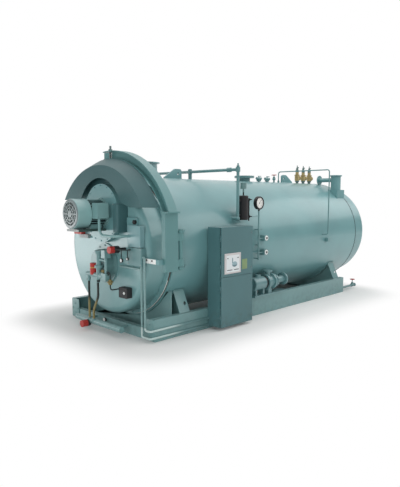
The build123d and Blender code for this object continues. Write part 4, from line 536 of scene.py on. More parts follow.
# The front head is a deep flanged drum of pressed plate that closes the tube ends and carries the burner.
# Enamel outside, with a white rope seal in its flange joint; inside, a cast refractory lining round the
# burner's throat, with swirl vanes in it.
DRUM_INNER_RADIUS, DRUM_FACE, LINING_COLOUR = 0.9462, 0.030, srgb(172, 158, 136)
DOOR_FLANGE, DOOR_NUT = 0.025, 0.012
drum_low, drum_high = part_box("door_drum")


def lined(place, colour):
    """Sooty refractory on the faces inside the drum."""
    x, y, z = place.axes()
    inside = x.hypot(z - axis_z).ramp(DRUM_INNER_RADIUS + 0.001, DRUM_INNER_RADIUS)
    inside = inside * y.ramp(drum_low.y + DRUM_FACE, drum_low.y + DRUM_FACE + 0.004)
    sooty = place.noise(6.0, 5.0).ramp(0.3, 0.7).mix(LINING_COLOUR, toned(LINING_COLOUR, 0.55))
    return inside.mix(colour, sooty)


drum_enamel = enamel("drum_enamel", srgb(116, 160, 162), 0.34, overlay=lined)
coat(drum_enamel, "door_drum")
door_middle = (0, drum_high.y - DOOR_FLANGE, axis_z)
door_nuts = bolt_circle(FLANGE_BOLTS, FLANGE_PITCH, DOOR_NUT, drum_enamel, door_middle, FORWARD)
piece("door_flange_nuts", [door_nuts], drum_enamel, "front_head")
ROPE_RADIUS, ROPE_THICKNESS, ROPE_LAY, ROPE_SEAT = 1.0405, 0.0055, 0.012, 0.002
ROPE_END, ROPE_STEPS = math.radians(66), 60
rope_white = surface("rope_white", srgb(226, 230, 226), 0.8, grain=400.0, depth=0.001, mottle=0.08)
rope_y = drum_high.y + ROPE_SEAT
rope_turns = [ROPE_END * (i / ROPE_STEPS - 1) for i in range(2 * ROPE_STEPS + 1)]
rope_line = [(-ROPE_RADIUS * math.sin(t), rope_y, axis_z - ROPE_RADIUS * math.cos(t)) for t in rope_turns]
rope = rippled(rope_line, ROPE_THICKNESS, ROPE_LAY, rope_white)
piece("door_rope_seal", [rope], rope_white, "front_head")

spokes, given = new_tree("spokes", "count", "start", "step", "radius", "size", "tilt", "finish")
spin = given["start"] + given["count"].node("GeometryNodeInputIndex") * given["step"]
spot = {"X": spin.math("COSINE") * given["radius"], "Y": spin.math("SINE") * given["radius"]}
spot = spin.node("ShaderNodeCombineXYZ", {}, spot)
spots = spin.node("GeometryNodeMeshLine", {}, {"Count": given["count"]})
spots = spin.node("GeometryNodeSetPosition", {}, {"Geometry": spots, "Position": spot})
bar = spin.node("GeometryNodeMeshCube", {}, {"Size": given["size"]})
close_tree(set_on(spots, bar, Rotation=turned_by(spin, X=given["tilt"], Z=spin)), given["finish"])


def spoked(count, radius, size, tilt, finish):
    """Flat bars set evenly round a circle."""
    step = math.tau / count
    return grow(spokes, count=count, start=0.0, step=step, radius=radius, size=size, tilt=tilt, finish=finish)


def turned(profile, steps=56):
    """A solid turned piece: an outline that a lathe closes on its own axis."""
    return lathe([(0.0, profile[0][1]), *profile, (0.0, profile[-1][1])], steps)


THROAT_RADIUS, LINING_RADIUS, LINING_SEAT = 0.205, 0.56, 0.040
VANES, VANE_RADIUS, VANE_SIZE, VANE_TILT, VANE_SEAT = 18, 0.125, (0.13, 0.004, 0.05), math.radians(38), 0.03
lining_face = drum_low.y + LINING_SEAT
refractory = surface("refractory", LINING_COLOUR, 0.85, grain=60.0, depth=0.002, mottle=0.25)
throat = lathe([
    (THROAT_RADIUS, 0.0), (THROAT_RADIUS, 0.085), (THROAT_RADIUS + 0.03, 0.10), (THROAT_RADIUS + 0.09, 0.10),
    (THROAT_RADIUS + 0.16, 0.012), (LINING_RADIUS, 0.006), (LINING_RADIUS, 0.0)])
throat = seated(throat, (0, lining_face, furnace_z), REARWARD)
piece("throat_lining", [throat], refractory, "front_head")
vanes = spoked(VANES, VANE_RADIUS, VANE_SIZE, VANE_TILT, fired_steel)
vanes = seated(vanes, (0, lining_face + VANE_SEAT, furnace_z), REARWARD)
hub = turned([(0.066, 0.0), (0.066, 0.05), (0.05, 0.062)])
hub = seated(hub, (0, lining_face, furnace_z), REARWARD)
piece("swirl_vanes", [vanes, hub], fired_steel, "front_head")


# The hood is rolled and folded sheet that leads air over the drum down into the fan casing.
# Hood and air box are sprayed a darker green than the vessel; the casing's rim is bolted round.
RIM_BOLTS, RIM_PITCH, RIM_HEAD = 16, 0.405, 0.009
coat(enamel("hood_enamel", srgb(62, 99, 102), 0.46, clear=0.05), "air_hood", "air_box")
coat(vessel_enamel, "fan_casing")
fan_low, fan_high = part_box("fan_casing")
fan_centre = (fan_low + fan_high) / 2
rim_middle = (fan_centre.x, fan_low.y, fan_centre.z)
rim_bolts = bolt_circle(RIM_BOLTS, RIM_PITCH, RIM_HEAD, vessel_enamel, rim_middle, FORWARD)
piece("fan_rim_bolts", [rim_bolts], vessel_enamel, "front_head")


# The fan motor is a finned cast frame with a pressed cowl, whose end is a barred guard over a cooling fan.
# Castings and cowl are in pale machine enamel, with painted shade between the fins and the cowl's coat made
# lighter as painted light; the guard is bare steel wire, and the fan is black.
MOTOR_SHADE, FIN_SHADE, BASE_GREEN = srgb(118, 158, 158), srgb(24, 38, 40), srgb(52, 76, 72)
FIN_ROOT, FIN_END, BASE_TOP, GUARD_DEPTH = 0.192, 0.020, 1.531, 0.010
motor_enamel = enamel("motor_enamel", MOTOR_SHADE, 0.42)
coat(motor_enamel, "terminal_box")
cowl_low, cowl_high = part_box("motor_cowl")
cowl_centre = (cowl_low + cowl_high) / 2
frame_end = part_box("motor_frame")[1].y


def fin_shade_and_base(place, colour):
    """Painted shade between the fins, and a dark green base plate."""
    x, y, z = place.axes()
    painted_fin_shade = (x - cowl_centre.x).hypot(z - cowl_centre.z).ramp(FIN_ROOT + 0.004, FIN_ROOT)
    painted_fin_shade = painted_fin_shade * y.ramp(frame_end - FIN_END, frame_end - FIN_END - 0.006)
    return z.ramp(BASE_TOP + 0.001, BASE_TOP).mix(painted_fin_shade.mix(colour, FIN_SHADE), BASE_GREEN)


def guarded(place, colour):
    """A greyer end, where the cowl is barred."""
    near = place.axes()[1].ramp(cowl_low.y + GUARD_DEPTH + 0.001, cowl_low.y + GUARD_DEPTH)
    return near.mix(colour, srgb(112, 128, 130))


# The frame's enamel has painted shade at the roots of its fins.
coat(enamel("frame_enamel", MOTOR_SHADE, 0.42, overlay=fin_shade_and_base), "motor_frame")
# The cowl takes the motor's enamel made lighter, as painted light.
coat(enamel("cowl_lightened_enamel", srgb(132, 172, 172), 0.40, overlay=guarded), "motor_cowl")
BLADES, BLADE_RADIUS, BLADE_SIZE = 9, 0.108, (0.13, 0.005, 0.06)
BLADE_TILT, FAN_SETBACK = math.radians(30), 0.07
black_plastic = surface("black_plastic", srgb(34, 36, 38), 0.5)
blades = spoked(BLADES, BLADE_RADIUS, BLADE_SIZE, BLADE_TILT, black_plastic)
fan_hub = turned([(0.046, -0.035), (0.052, -0.028), (0.052, 0.035)])
fan_place = (cowl_centre.x, cowl_low.y + FAN_SETBACK, cowl_centre.z)
cooling_fan = [seated(part, fan_place, FORWARD) for part in (blades, fan_hub)]
piece("cooling_fan", cooling_fan, black_plastic, "front_head")

wire_guard, given = new_tree("wire_guard", "turns", "inner", "outer", "wire", "finish")
coil = {"Rotations": given["turns"], "Start Radius": given["inner"], "End Radius": given["outer"]}
coil = given["turns"].node("GeometryNodeCurveSpiral", {}, {"Resolution": 44, "Height": 0.0, **coil})
close_tree(bar_along(coil, 6, given["wire"]), given["finish"])
GUARD_TURNS, GUARD_INNER, GUARD_OUTER, GUARD_WIRE, GUARD_SEAT = 13.0, 0.016, 0.188, 0.0024, 0.0085
guard_wire = surface("guard_wire", srgb(150, 160, 160), 0.36, 0.5, mottle=0.06)
guard = grow(
    wire_guard, turns=GUARD_TURNS, inner=GUARD_INNER, outer=GUARD_OUTER, wire=GUARD_WIRE, finish=guard_wire)
guard = seated(guard, (cowl_centre.x, cowl_low.y + GUARD_SEAT, cowl_centre.z), FORWARD)
piece("cowl_wire_guard", [guard], guard_wire, "front_head")
MOTOR_BOLTS, MOTOR_PITCH, MOTOR_HEAD, MOTOR_FLANGE = 8, 0.208, 0.009, 0.022
motor_middle = (cowl_centre.x, frame_end - MOTOR_FLANGE, cowl_centre.z)
motor_bolts = bolt_circle(MOTOR_BOLTS, MOTOR_PITCH, MOTOR_HEAD, motor_enamel, motor_middle, FORWARD)
piece("motor_flange_bolts", [motor_bolts], motor_enamel, "front_head")


# Beside the fan are folded sheet covers: the burner panel with a black knob, the junction box and the control
# cover. Corner screws hold their lids and the motor's terminal box. A strap of flat steel ties the drum to
# the davit's post and carries two bare tags.
RIGHTWARD = (1, 0, 0)
GRID = ("columns", "rows", "width", "height")
screw_grid, given = new_tree("screw_grid", *GRID, "head", "finish")
head = given["head"]
spots = grid_spots(head, *[given[label] for label in GRID])
dome = {"Vertices": 12, "Radius Top": head * 0.62, "Radius Bottom": head, "Depth": head * 0.7}
screw = head.node("GeometryNodeMeshCone", {}, dome)
close_tree(set_on(spots, screw), given["finish"])
screw_steel = surface("screw_steel", srgb(160, 166, 166), 0.34, 0.9)


def corner_screws(low, high, axis, margin, head, rows=2):
    """Screws on a cover's outer face, set in from its edges."""
    centre = (low + high) / 2
    if axis == RIGHTWARD:
        centre.x = high.x
        across = high.y - low.y
    else:
        centre.y = low.y
        across = high.x - low.x
    width, height = across - 2 * margin, high.z - low.z - 2 * margin
    made = grow(screw_grid, columns=2, rows=rows, width=width, height=height, head=head, finish=screw_steel)
    return seated(made, centre, axis)


COVER_LOW, COVER_HIGH = Vector((0.657, -0.137, 1.297)), Vector((0.931, -0.058, 1.594))
LID_LIP, LID_DEPTH, COVER_EDGE, LID_EDGE = 0.004, 0.014, 0.006, 0.004
coat(vessel_enamel, "burner_panel")
# The junction box's enamel is the cover's made darker, as painted shade.
coat(enamel("box_shaded_enamel", srgb(98, 138, 140), 0.46, clear=0.05), "junction_box")
cover_enamel = enamel("cover_enamel", srgb(118, 158, 162), 0.42, clear=0.3)
lid_low = COVER_LOW - Vector((LID_LIP, LID_LIP, 0.0))
lid_high = Vector((COVER_HIGH.x + LID_LIP, COVER_LOW.y + LID_DEPTH, COVER_HIGH.z + LID_LIP))
lid_screws = [
    corner_screws(*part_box("terminal_box"), RIGHTWARD, margin=0.014, head=0.006),
    corner_screws(*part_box("burner_panel"), FORWARD, margin=0.016, head=0.006, rows=3),
    corner_screws(*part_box("junction_box"), FORWARD, margin=0.018, head=0.007),
    corner_screws(COVER_LOW - Vector((0.0, LID_LIP, 0.0)), COVER_HIGH, FORWARD, margin=0.015, head=0.006),
]
piece("lid_screws", lid_screws, screw_steel, "front_head")
cover_box = [slab(COVER_LOW, COVER_HIGH, COVER_EDGE), slab(lid_low, lid_high, LID_EDGE)]
piece("burner_control_cover", cover_box, cover_enamel, "front_head")
STRAP_LOW, STRAP_HIGH = Vector((0.880, -0.068, 1.084)), Vector((1.250, -0.056, 1.158))
STRAP_LEG, LEG_SETBACK, STRAP_BACK, STRAP_EDGE = 0.050, 0.002, 0.001, 0.003
leg_low = Vector((STRAP_HIGH.x - STRAP_LEG, STRAP_LOW.y + LEG_SETBACK, STRAP_LOW.z))
leg_high = Vector((STRAP_HIGH.x, STRAP_BACK, STRAP_HIGH.z))
strap = [slab(STRAP_LOW, STRAP_HIGH, STRAP_EDGE), slab(leg_low, leg_high, STRAP_EDGE)]
piece("post_tie_strap", strap, vessel_enamel, "front_head")
TAG_STARTS, TAG_WIDTH, TAG_MARGIN, TAG_EDGE = (0.955, 1.066), 0.106, 0.006, 0.0008
TAG_PROUD, TAG_SEAT, DOT_INSET, DOT_HEIGHT = 0.002, 0.001, 0.030, 1.130
tag_white = surface("tag_white", srgb(240, 242, 240), 0.4, mottle=0.03)
tag_face = STRAP_LOW.y - TAG_PROUD
tags, tag_dots = [], []
for start in TAG_STARTS:
    low = (start, tag_face, STRAP_LOW.z + TAG_MARGIN)
    high = (start + TAG_WIDTH, STRAP_LOW.y + TAG_SEAT, STRAP_HIGH.z - TAG_MARGIN)
    tags.append(slab(low, high, TAG_EDGE))
    dot = turned([(0.014, 0.0), (0.014, 0.003), (0.010, 0.005)], 24)
    tag_dots.append(seated(dot, (start + DOT_INSET, tag_face, DOT_HEIGHT), FORWARD))
piece("bare_tags", tags, tag_white, "front_head")
piece("tag_buttons", tag_dots, black_plastic, "front_head")
KNOB_INSET, KNOB_DROP, LOBES, LOBE_RADIUS, LOBE_SIZE, LOBE_LIFT = 0.030, 0.060, 6, 0.024, 0.014, 0.026
panel_low, panel_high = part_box("burner_panel")
knob = turned([
    (0.030, 0.0), (0.030, 0.006), (0.016, 0.008), (0.016, 0.018), (0.024, 0.020), (0.024, 0.032),
    (0.020, 0.036)], 24)
lobes = spoked(LOBES, LOBE_RADIUS, (LOBE_SIZE, LOBE_SIZE, LOBE_SIZE), 0.0, black_plastic)
lobes.transform(Matrix.Translation((0, 0, LOBE_LIFT)))
knob_place = (panel_high.x - KNOB_INSET, panel_low.y, panel_high.z - KNOB_DROP)
panel_knob = [seated(part, knob_place, FORWARD) for part in (knob, lobes)]
piece("panel_knob", panel_knob, black_plastic, "front_head")


# The davit is a curved I-beam on a swinging post, from which the whole front head hangs by a long bolt.
# Rolled and welded steel in a darker coat of the vessel's enamel; the hanger is bare steel between two bolted
# cheek plates.
CHEEK_LOW, CHEEK_HIGH, CHEEK_PLATE, CHEEK_EDGE = 2.470, 2.640, 0.014, 0.004
CHEEK_BOLTS, CHEEK_PITCH, CHEEK_HEAD, CHEEK_RISE = 2, 0.036, 0.009, 0.035
bare_steel = surface("bare_steel", srgb(132, 148, 148), 0.38, 0.7)
davit_enamel = enamel("davit_enamel", srgb(92, 138, 139), 0.44, clear=0.15)
coat(davit_enamel, "davit_arm", "davit_post", "davit_hinge")
coat(bare_steel, "hanger_bolt")
hanger_low, hanger_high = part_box("hanger_bolt")
cheek_face = hanger_low.y - CHEEK_PLATE
cheeks = [
    slab((hanger_low.x, y, CHEEK_LOW), (hanger_high.x, y + CHEEK_PLATE, CHEEK_HIGH), CHEEK_EDGE)
    for y in (cheek_face, hanger_high.y)]
cheek_middle = ((hanger_low.x + hanger_high.x) / 2, cheek_face, CHEEK_LOW + CHEEK_RISE)
cheeks.append(bolt_circle(CHEEK_BOLTS, CHEEK_PITCH, CHEEK_HEAD, davit_enamel, cheek_middle, FORWARD))
piece("hanger_cheeks", cheeks, davit_enamel, "front_head")


# The gas burner and its train: a flanged burner, steel pipe and valves, motor actuators in red and black, two
# drop lines from the header, unions, a pilot line with a brass regulator, small gauges on a lead, a flame
# scanner, and the conduits that wire them, with a pale painted highlight at their front bends, green further
# back.
UPWARD = (0, 0, 1)
RED, BLACK, OCHRE, GREY = srgb(176, 52, 46), srgb(36, 34, 36), srgb(176, 140, 70), srgb(150, 158, 158)
HIGHLIGHT_END, HIGHLIGHT_FADED = 0.26, 0.52
BURNER_BOLTS, BURNER_PITCH, BURNER_HEAD, BURNER_FLANGE = 12, 0.268, 0.011, 0.022


def conduit_highlight_paint(place):
    """A pale painted highlight at the bends in front, fading to the rail's green further back."""
    return place.axes()[1].ramp(HIGHLIGHT_END, HIGHLIGHT_FADED).mix(srgb(186, 206, 204), srgb(104, 140, 142))


pipe_enamel = enamel("pipe_enamel", srgb(110, 150, 151), 0.42)
coat(pipe_enamel, "burner_body", "gas_valves", "gas_header")
thin_coat = {"Coat Weight": 0.3}
coat(surface("conduit_steel", srgb(122, 156, 156), 0.36, 0.15, mottle=0.06, fixed=thin_coat), "door_conduits")
# The rail conduits carry a pale painted highlight at their front bends.
coat(surface("conduit_painted_highlight", conduit_highlight_paint, 0.30, 0.2, mottle=0.05), "rail_conduits")
burner_middle = (0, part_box("burner_body")[1].y - BURNER_FLANGE, furnace_z)
burner_bolts = bolt_circle(BURNER_BOLTS, BURNER_PITCH, BURNER_HEAD, pipe_enamel, burner_middle, FORWARD)
piece("burner_bolts", [burner_bolts], pipe_enamel, "front_head")
TRAIN_Y, TRAIN_SPLIT, UPRIGHT_REACH, BAND_LOW, BAND_HIGH = -0.270, 0.007, 0.20, 0.945, 0.962
HEADER_SPLIT, DAMPER_SPLIT, PAINT_EDGE = -0.320, 1.405, 0.001


def parted(wire, level, below, above):
    """One colour below a level and another above it."""
    return wire.ramp(level - PAINT_EDGE, level + PAINT_EDGE).mix(below, above)


def train_paint(place):
    """An upright actuator with an ochre band, and a lying one in red and black halves."""
    x, y, z = place.axes()
    upright = x.ramp(UPRIGHT_REACH + 0.01, UPRIGHT_REACH)
    banded = z.within(BAND_LOW, BAND_HIGH).mix(RED, OCHRE)
    return upright.mix(parted(y, TRAIN_Y + TRAIN_SPLIT, RED, BLACK), banded)


def header_paint(place):
    return parted(place.axes()[1], HEADER_SPLIT, RED, BLACK)


def damper_paint(place):
    return parted(place.axes()[2], DAMPER_SPLIT, GREY, RED)


coat(surface("train_actuator_paint", train_paint, 0.42), "gas_actuators")
coat(surface("header_actuator_paint", header_paint, 0.42), "header_actuator")
coat(surface("damper_actuator_paint", damper_paint, 0.42), "damper_actuator")
DROP_DARK, DROP_BRASS_AND_HIGHLIGHT = 0.52, 0.40
FACE_X, FACE_Z, FACE_RADIUS = -0.095, 0.112, 0.029


def drop_brass_and_highlight(place):
    """A dark line above, and a brassy foot: brass fittings, and partly a painted highlight."""
    return place.axes()[2].ramp(DROP_DARK, DROP_BRASS_AND_HIGHLIGHT).mix(srgb(46, 54, 52), srgb(140, 130, 86))


def gauge_paint(place):
    """A white face in a black case."""
    x, z = place.axes()[::2]
    reach = (x - FACE_X).hypot(z - FACE_Z)
    return reach.ramp(FACE_RADIUS, FACE_RADIUS + PAINT_EDGE).mix(srgb(236, 238, 236), BLACK)


# The drop lines' brassy lower part stands for brass fittings and is partly a painted highlight.
coat(surface("drop_line_paint", drop_brass_and_highlight, 0.5, 0.2), "gas_hoses")
coat(black_plastic, "flame_scanner")
coat(surface("gas_gauge_face", gauge_paint, 0.3, mottle=0.05), "gas_gauge")
dark_iron = surface("dark_iron", srgb(50, 62, 62), 0.5, 0.2)
pale_enamel = surface("pale_enamel", srgb(226, 230, 228), 0.35, mottle=0.04)
LEAD_HEIGHT, LEAD_THICKNESS, PIPE_STEP = 1.258, 0.009, 0.012
LEAD_BENDS = ((0.520, -0.270), (0.600, -0.262), (0.660, -0.240), (0.705, -0.195), (0.720, -0.135))
SMALL_GAUGES = ((0.646, -0.245, 1.112, 0.030), (0.712, -0.190, 1.134, 0.021))
CASE_BACK, FACE_FRONT, FACE_PLATE, STEM_RADIUS = 0.012, 0.009, 0.002, 0.007
lead_line = [(x, y, LEAD_HEIGHT) for x, y in LEAD_BENDS]
gauge_bodies = [rippled(lead_line, LEAD_THICKNESS, PIPE_STEP, dark_iron)]
gauge_eyes = []
for x, y, z, radius in SMALL_GAUGES:
    case = turned([(radius, 0.0), (radius, 0.024), (radius * 0.84, 0.026), (radius * 0.80, 0.021)], 28)
    stem = turned([(STEM_RADIUS, 0.0), (STEM_RADIUS, LEAD_HEIGHT - z)], 12)
    face = turned([(radius * 0.78, 0.0), (radius * 0.78, FACE_PLATE)], 28)
    gauge_bodies.append(seated(case, (x, y + CASE_BACK, z), FORWARD))
    gauge_bodies.append(seated(stem, (x, y, z), UPWARD))
    gauge_eyes.append(seated(face, (x, y - FACE_FRONT, z), FORWARD))
UNIONS = ((0.098, 0.765), (-0.158, 0.765), (0.342, 0.886))
for x, z in UNIONS:
    union = turned([(0.020, -0.018), (0.028, -0.012), (0.028, 0.012), (0.020, 0.018)], 6)
    gauge_bodies.append(seated(union, (x, TRAIN_Y, z), UPWARD))
PILOT_START, PILOT_DROP, PILOT_HEIGHT, PILOT_FOOT = 0.098, 0.405, 0.920, 0.668
PILOT_BEND, PILOT_THICKNESS, SHUT_OFF_X, REGULATOR_Z = 0.034, 0.010, 0.235, 0.745
knee = 0.3 * PILOT_BEND
pilot_line = [
    (PILOT_START, TRAIN_Y, PILOT_HEIGHT), (PILOT_DROP - PILOT_BEND, TRAIN_Y, PILOT_HEIGHT),
    (PILOT_DROP - knee, TRAIN_Y, PILOT_HEIGHT - knee), (PILOT_DROP, TRAIN_Y, PILOT_HEIGHT - PILOT_BEND),
    (PILOT_DROP, TRAIN_Y, PILOT_FOOT + PILOT_BEND), (PILOT_DROP, TRAIN_Y + knee, PILOT_FOOT + knee),
    (PILOT_DROP, TRAIN_Y + PILOT_BEND, PILOT_FOOT), (PILOT_DROP, drum_low.y, PILOT_FOOT)]
gauge_bodies.append(rippled(pilot_line, PILOT_THICKNESS, PIPE_STEP, dark_iron))
pilot_brass = surface("pilot_brass", srgb(142, 128, 84), 0.4, 0.4)
regulator = turned([
    (0.022, 0.0), (0.030, 0.010), (0.030, 0.030), (0.048, 0.036), (0.048, 0.044), (0.030, 0.052),
    (0.018, 0.075)], 28)
shut_off = turned([(0.018, -0.034), (0.024, -0.026), (0.024, 0.026), (0.018, 0.034)], 6)
pilot_fittings = [
    seated(regulator, (PILOT_DROP, TRAIN_Y, REGULATOR_Z), UPWARD),
    seated(shut_off, (SHUT_OFF_X, TRAIN_Y, PILOT_HEIGHT), RIGHTWARD)]
piece("pilot_fittings", pilot_fittings, pilot_brass, "front_head")
piece("burner_gauges", gauge_bodies, dark_iron, "front_head")
SCANNER_EYE, PLUG_FOOT = (0.568, -0.152, 0.629), (0.098, -0.285, 0.975)
eye_ring = turned([(0.020, -0.002), (0.020, 0.005), (0.013, 0.010)], 28)
gauge_eyes.append(seated(eye_ring, SCANNER_EYE, FORWARD))
plug = turned([(0.016, 0.0), (0.016, 0.038), (0.010, 0.044), (0.010, 0.056)], 20)
gauge_eyes.append(seated(plug, PLUG_FOOT, UPWARD))
piece("burner_gauge_faces", gauge_eyes, pale_enamel, "front_head")


# The control cabinet is a folded sheet enclosure on the right rail, with two leaves hung on its front edge.
# Dark green enamel; the upper leaf holds a touch screen in a pale bezel, and each leaf has turn latches.
# Inside, relays and wiring ducts are fixed to a pale steel plate.
cabinet_enamel = enamel("cabinet_enamel", srgb(78, 118, 122), 0.46, clear=0.05)
coat(cabinet_enamel, "cabinet_body", "cabinet_upper_door", "cabinet_lower_door")
coat(surface("gear_plate", srgb(206, 208, 204), 0.5, mottle=0.06), "mounting_plate")
screen_low, screen_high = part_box("operator_screen")
BEZEL, GLASS, INK = srgb(206, 202, 202), srgb(226, 232, 234), srgb(56, 62, 66)


def screen_picture(place):
    """A pale bezel round a lit display: a plain vessel drawing, two readings and two key bars."""
    y, z = place.axes()[1:]
    across = (y - screen_low.y) / (screen_high.y - screen_low.y)
    up = (z - screen_low.z) / (screen_high.z - screen_low.z)
    colour = (across.within(0.10, 0.90, 0.004) * up.within(0.08, 0.90, 0.004)).mix(BEZEL, GLASS)
    left, rise = (across - 0.60) * 1.19, up - 0.45
    drum = ((left * left + rise * rise * 2.2) ** 0.5).ramp(0.20, 0.19)
    colour = drum.mix(colour, srgb(150, 178, 186))
    belly = drum * up.ramp(0.42, 0.40)
    colour = belly.mix(colour, srgb(98, 128, 138))
    stack = across.within(0.44, 0.50, 0.004) * up.within(0.52, 0.76, 0.004)
    colour = stack.mix(colour, srgb(120, 150, 160))
    keys = across.within(0.14, 0.46, 0.003) + across.within(0.56, 0.86, 0.003)
    keys = keys * up.within(0.16, 0.20, 0.003)
    readings = across.within(0.14, 0.22, 0.003) + across.within(0.76, 0.86, 0.003)
    readings = readings * up.within(0.74, 0.78, 0.003)
    return (keys + readings).mix(colour, INK)


coat(surface("screen_picture", screen_picture, 0.26, mottle=0.02, depth=0.0), "operator_screen")
PLATE_RIGHT, PLATE_RISE, PLATE_WIDTH, PLATE_HEIGHT = 0.035, 0.040, 0.120, 0.155
PLATE_SEAT, PLATE_PROUD, PLATE_EDGE = 0.001, 0.0015, 0.0005
upper_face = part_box("cabinet_upper_door")[1].x
plate_y, plate_z = screen_high.y + PLATE_RIGHT, screen_low.z + PLATE_RISE
plate_low = (upper_face - PLATE_SEAT, plate_y, plate_z)
plate_high = (upper_face + PLATE_PROUD, plate_y + PLATE_WIDTH, plate_z + PLATE_HEIGHT)
plate_paint = surface("bare_plate_paint", srgb(128, 152, 108), 0.42, mottle=0.08)
bare_plate = slab(plate_low, plate_high, PLATE_EDGE)
piece("cabinet_plate", [bare_plate], plate_paint, "cabinet_upper_leaf")
LATCH_INSET, LATCH_END = 0.030, 0.10
latch_steel = surface("latch_steel", srgb(108, 132, 134), 0.36, 0.6)
for leaf in ("upper", "lower"):
    low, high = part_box(f"cabinet_{leaf}_door")
    latches = []
    for z in (low.z + LATCH_END, high.z - LATCH_END):
        latch = turned([
            (0.017, -0.001), (0.017, 0.002), (0.013, 0.004), (0.0095, 0.004), (0.0095, 0.0075)], 28)
        latches.append(seated(latch, (high.x, high.y - LATCH_INSET, z), RIGHTWARD))
    piece(f"{leaf}_latches", latches, latch_steel, f"cabinet_{leaf}_leaf")

block_grid, given = new_tree("block_grid", *GRID, "size", "finish")
spots = grid_spots(given["size"], *[given[label] for label in GRID])
block = spots.node("GeometryNodeMeshCube", {}, {"Size": given["size"]})
close_tree(set_on(spots, block), given["finish"])
RELAY_COLUMNS, RELAY_ROWS, RELAY_SIZE = 9, 4, (0.042, 0.090, 0.075)
DUCT_ROWS, DUCT_WIDTH, DUCT_DEPTH, GEAR_SEAT = 5, 0.036, 0.050, 0.020
gear_low, gear_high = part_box("mounting_plate")
gear_centre = (gear_low + gear_high) / 2
gear_width, gear_height = gear_high.y - gear_low.y, gear_high.z - gear_low.z
relay_spread, relay_rise = gear_width * 0.78, gear_height * 0.66
duct_length, duct_rise = gear_width * 0.92, gear_height * 0.88
gear_face = (gear_high.x + GEAR_SEAT, gear_centre.y, gear_centre.z)
relay_plastic = surface("relay_plastic", srgb(70, 74, 76), 0.5)
duct_plastic = surface("duct_plastic", srgb(168, 172, 172), 0.55, mottle=0.06)
relays = grow(
    block_grid, columns=RELAY_COLUMNS, rows=RELAY_ROWS, width=relay_spread, height=relay_rise,
    size=RELAY_SIZE, finish=relay_plastic)
ducts = grow(
    block_grid, columns=1, rows=DUCT_ROWS, width=0.0, height=duct_rise,
    size=(duct_length, DUCT_WIDTH, DUCT_DEPTH), finish=duct_plastic)
piece("control_relays", [seated(relays, gear_face, RIGHTWARD)], relay_plastic, "boiler")
piece("wiring_ducts", [seated(ducts, gear_face, RIGHTWARD)], duct_plastic, "boiler")


# Along the crown stand the flue and steam outlets, two lifting lugs, three brass safety valves, vent cocks
# and a stop valve with a red wheel, the vent stub with its flanged branch, and two thin pipes.
DOWNWARD = (0, 0, -1)
BRASS, BONNET_FOOT, INLET_TOP, VALVE_EDGE = srgb(196, 178, 128), 2.530, 2.350, 0.006
fitting_enamel = enamel("fitting_enamel", srgb(102, 144, 146), 0.42)
coat(vessel_enamel, "flue_outlet", "front_lifting_lug", "rear_lifting_lug", "vent_stub")
coat(fitting_enamel, "steam_nozzle", "steam_cross_pipe", "sensing_line", "crown_valves")


def safety_valve_metal(place):
    """Dull brass, with a painted bonnet above and a painted inlet below."""
    z = place.axes()[2]
    brass = place.noise(30.0, 4.0).ramp(0.3, 0.7).mix(toned(BRASS, 0.72), BRASS)
    painted = z.ramp(BONNET_FOOT, BONNET_FOOT + VALVE_EDGE) + z.ramp(INLET_TOP, INLET_TOP - VALVE_EDGE)
    return painted.mix(brass, srgb(116, 138, 136))


valve_metal = surface("safety_valve_metal", safety_valve_metal, 0.36, 0.55)
coat(valve_metal, "safety_valve_1", "safety_valve_2", "safety_valve_3")
coat(surface("wheel_red", RED, 0.40), "stop_handwheel", "blowdown_handwheel")
VENT_X, VENT_Y, VENT_PITCH, VENT_FLANGE = 0.650, 5.440, 0.118, 0.020
BRANCH_Z, BRANCH_PITCH, BRANCH_FLANGE = 2.362, 0.084, 0.018
VENT_BOLTS, VENT_HEAD = 8, 0.007
vent_low, vent_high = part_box("vent_stub")
vent_middle = (VENT_X, VENT_Y, vent_high.z - VENT_FLANGE)
branch_middle = (vent_low.x + BRANCH_FLANGE, VENT_Y, BRANCH_Z)
vent_bolts = [
    bolt_circle(VENT_BOLTS, VENT_PITCH, VENT_HEAD, vessel_enamel, vent_middle, DOWNWARD),
    bolt_circle(VENT_BOLTS, BRANCH_PITCH, VENT_HEAD, vessel_enamel, branch_middle, RIGHTWARD),
]
piece("vent_flange_bolts", vent_bolts, vessel_enamel, "boiler")


# On the right side hang the water column with its gauge glass, a large pressure gauge, and a standpipe with
# two level switches. Column and gauge case are black iron, the gauge has a white dial with plain numbers, and
# the switches have white caps.
IRON, BOWL_FOOT, BOWL_EDGE = srgb(20, 22, 26), 2.060, 0.004
coat(surface("black_iron", IRON, 0.46, 0.2, depth=0.0012), "gauge_glass", "pressure_gauge")


def column_paint(place):
    """Rusty black iron, with a painted bowl above."""
    rusty = place.noise(11.0, 4.0).ramp(0.45, 0.75).mix(IRON, srgb(36, 28, 27))
    return place.axes()[2].ramp(BOWL_FOOT, BOWL_FOOT + BOWL_EDGE).mix(rusty, srgb(104, 136, 136))


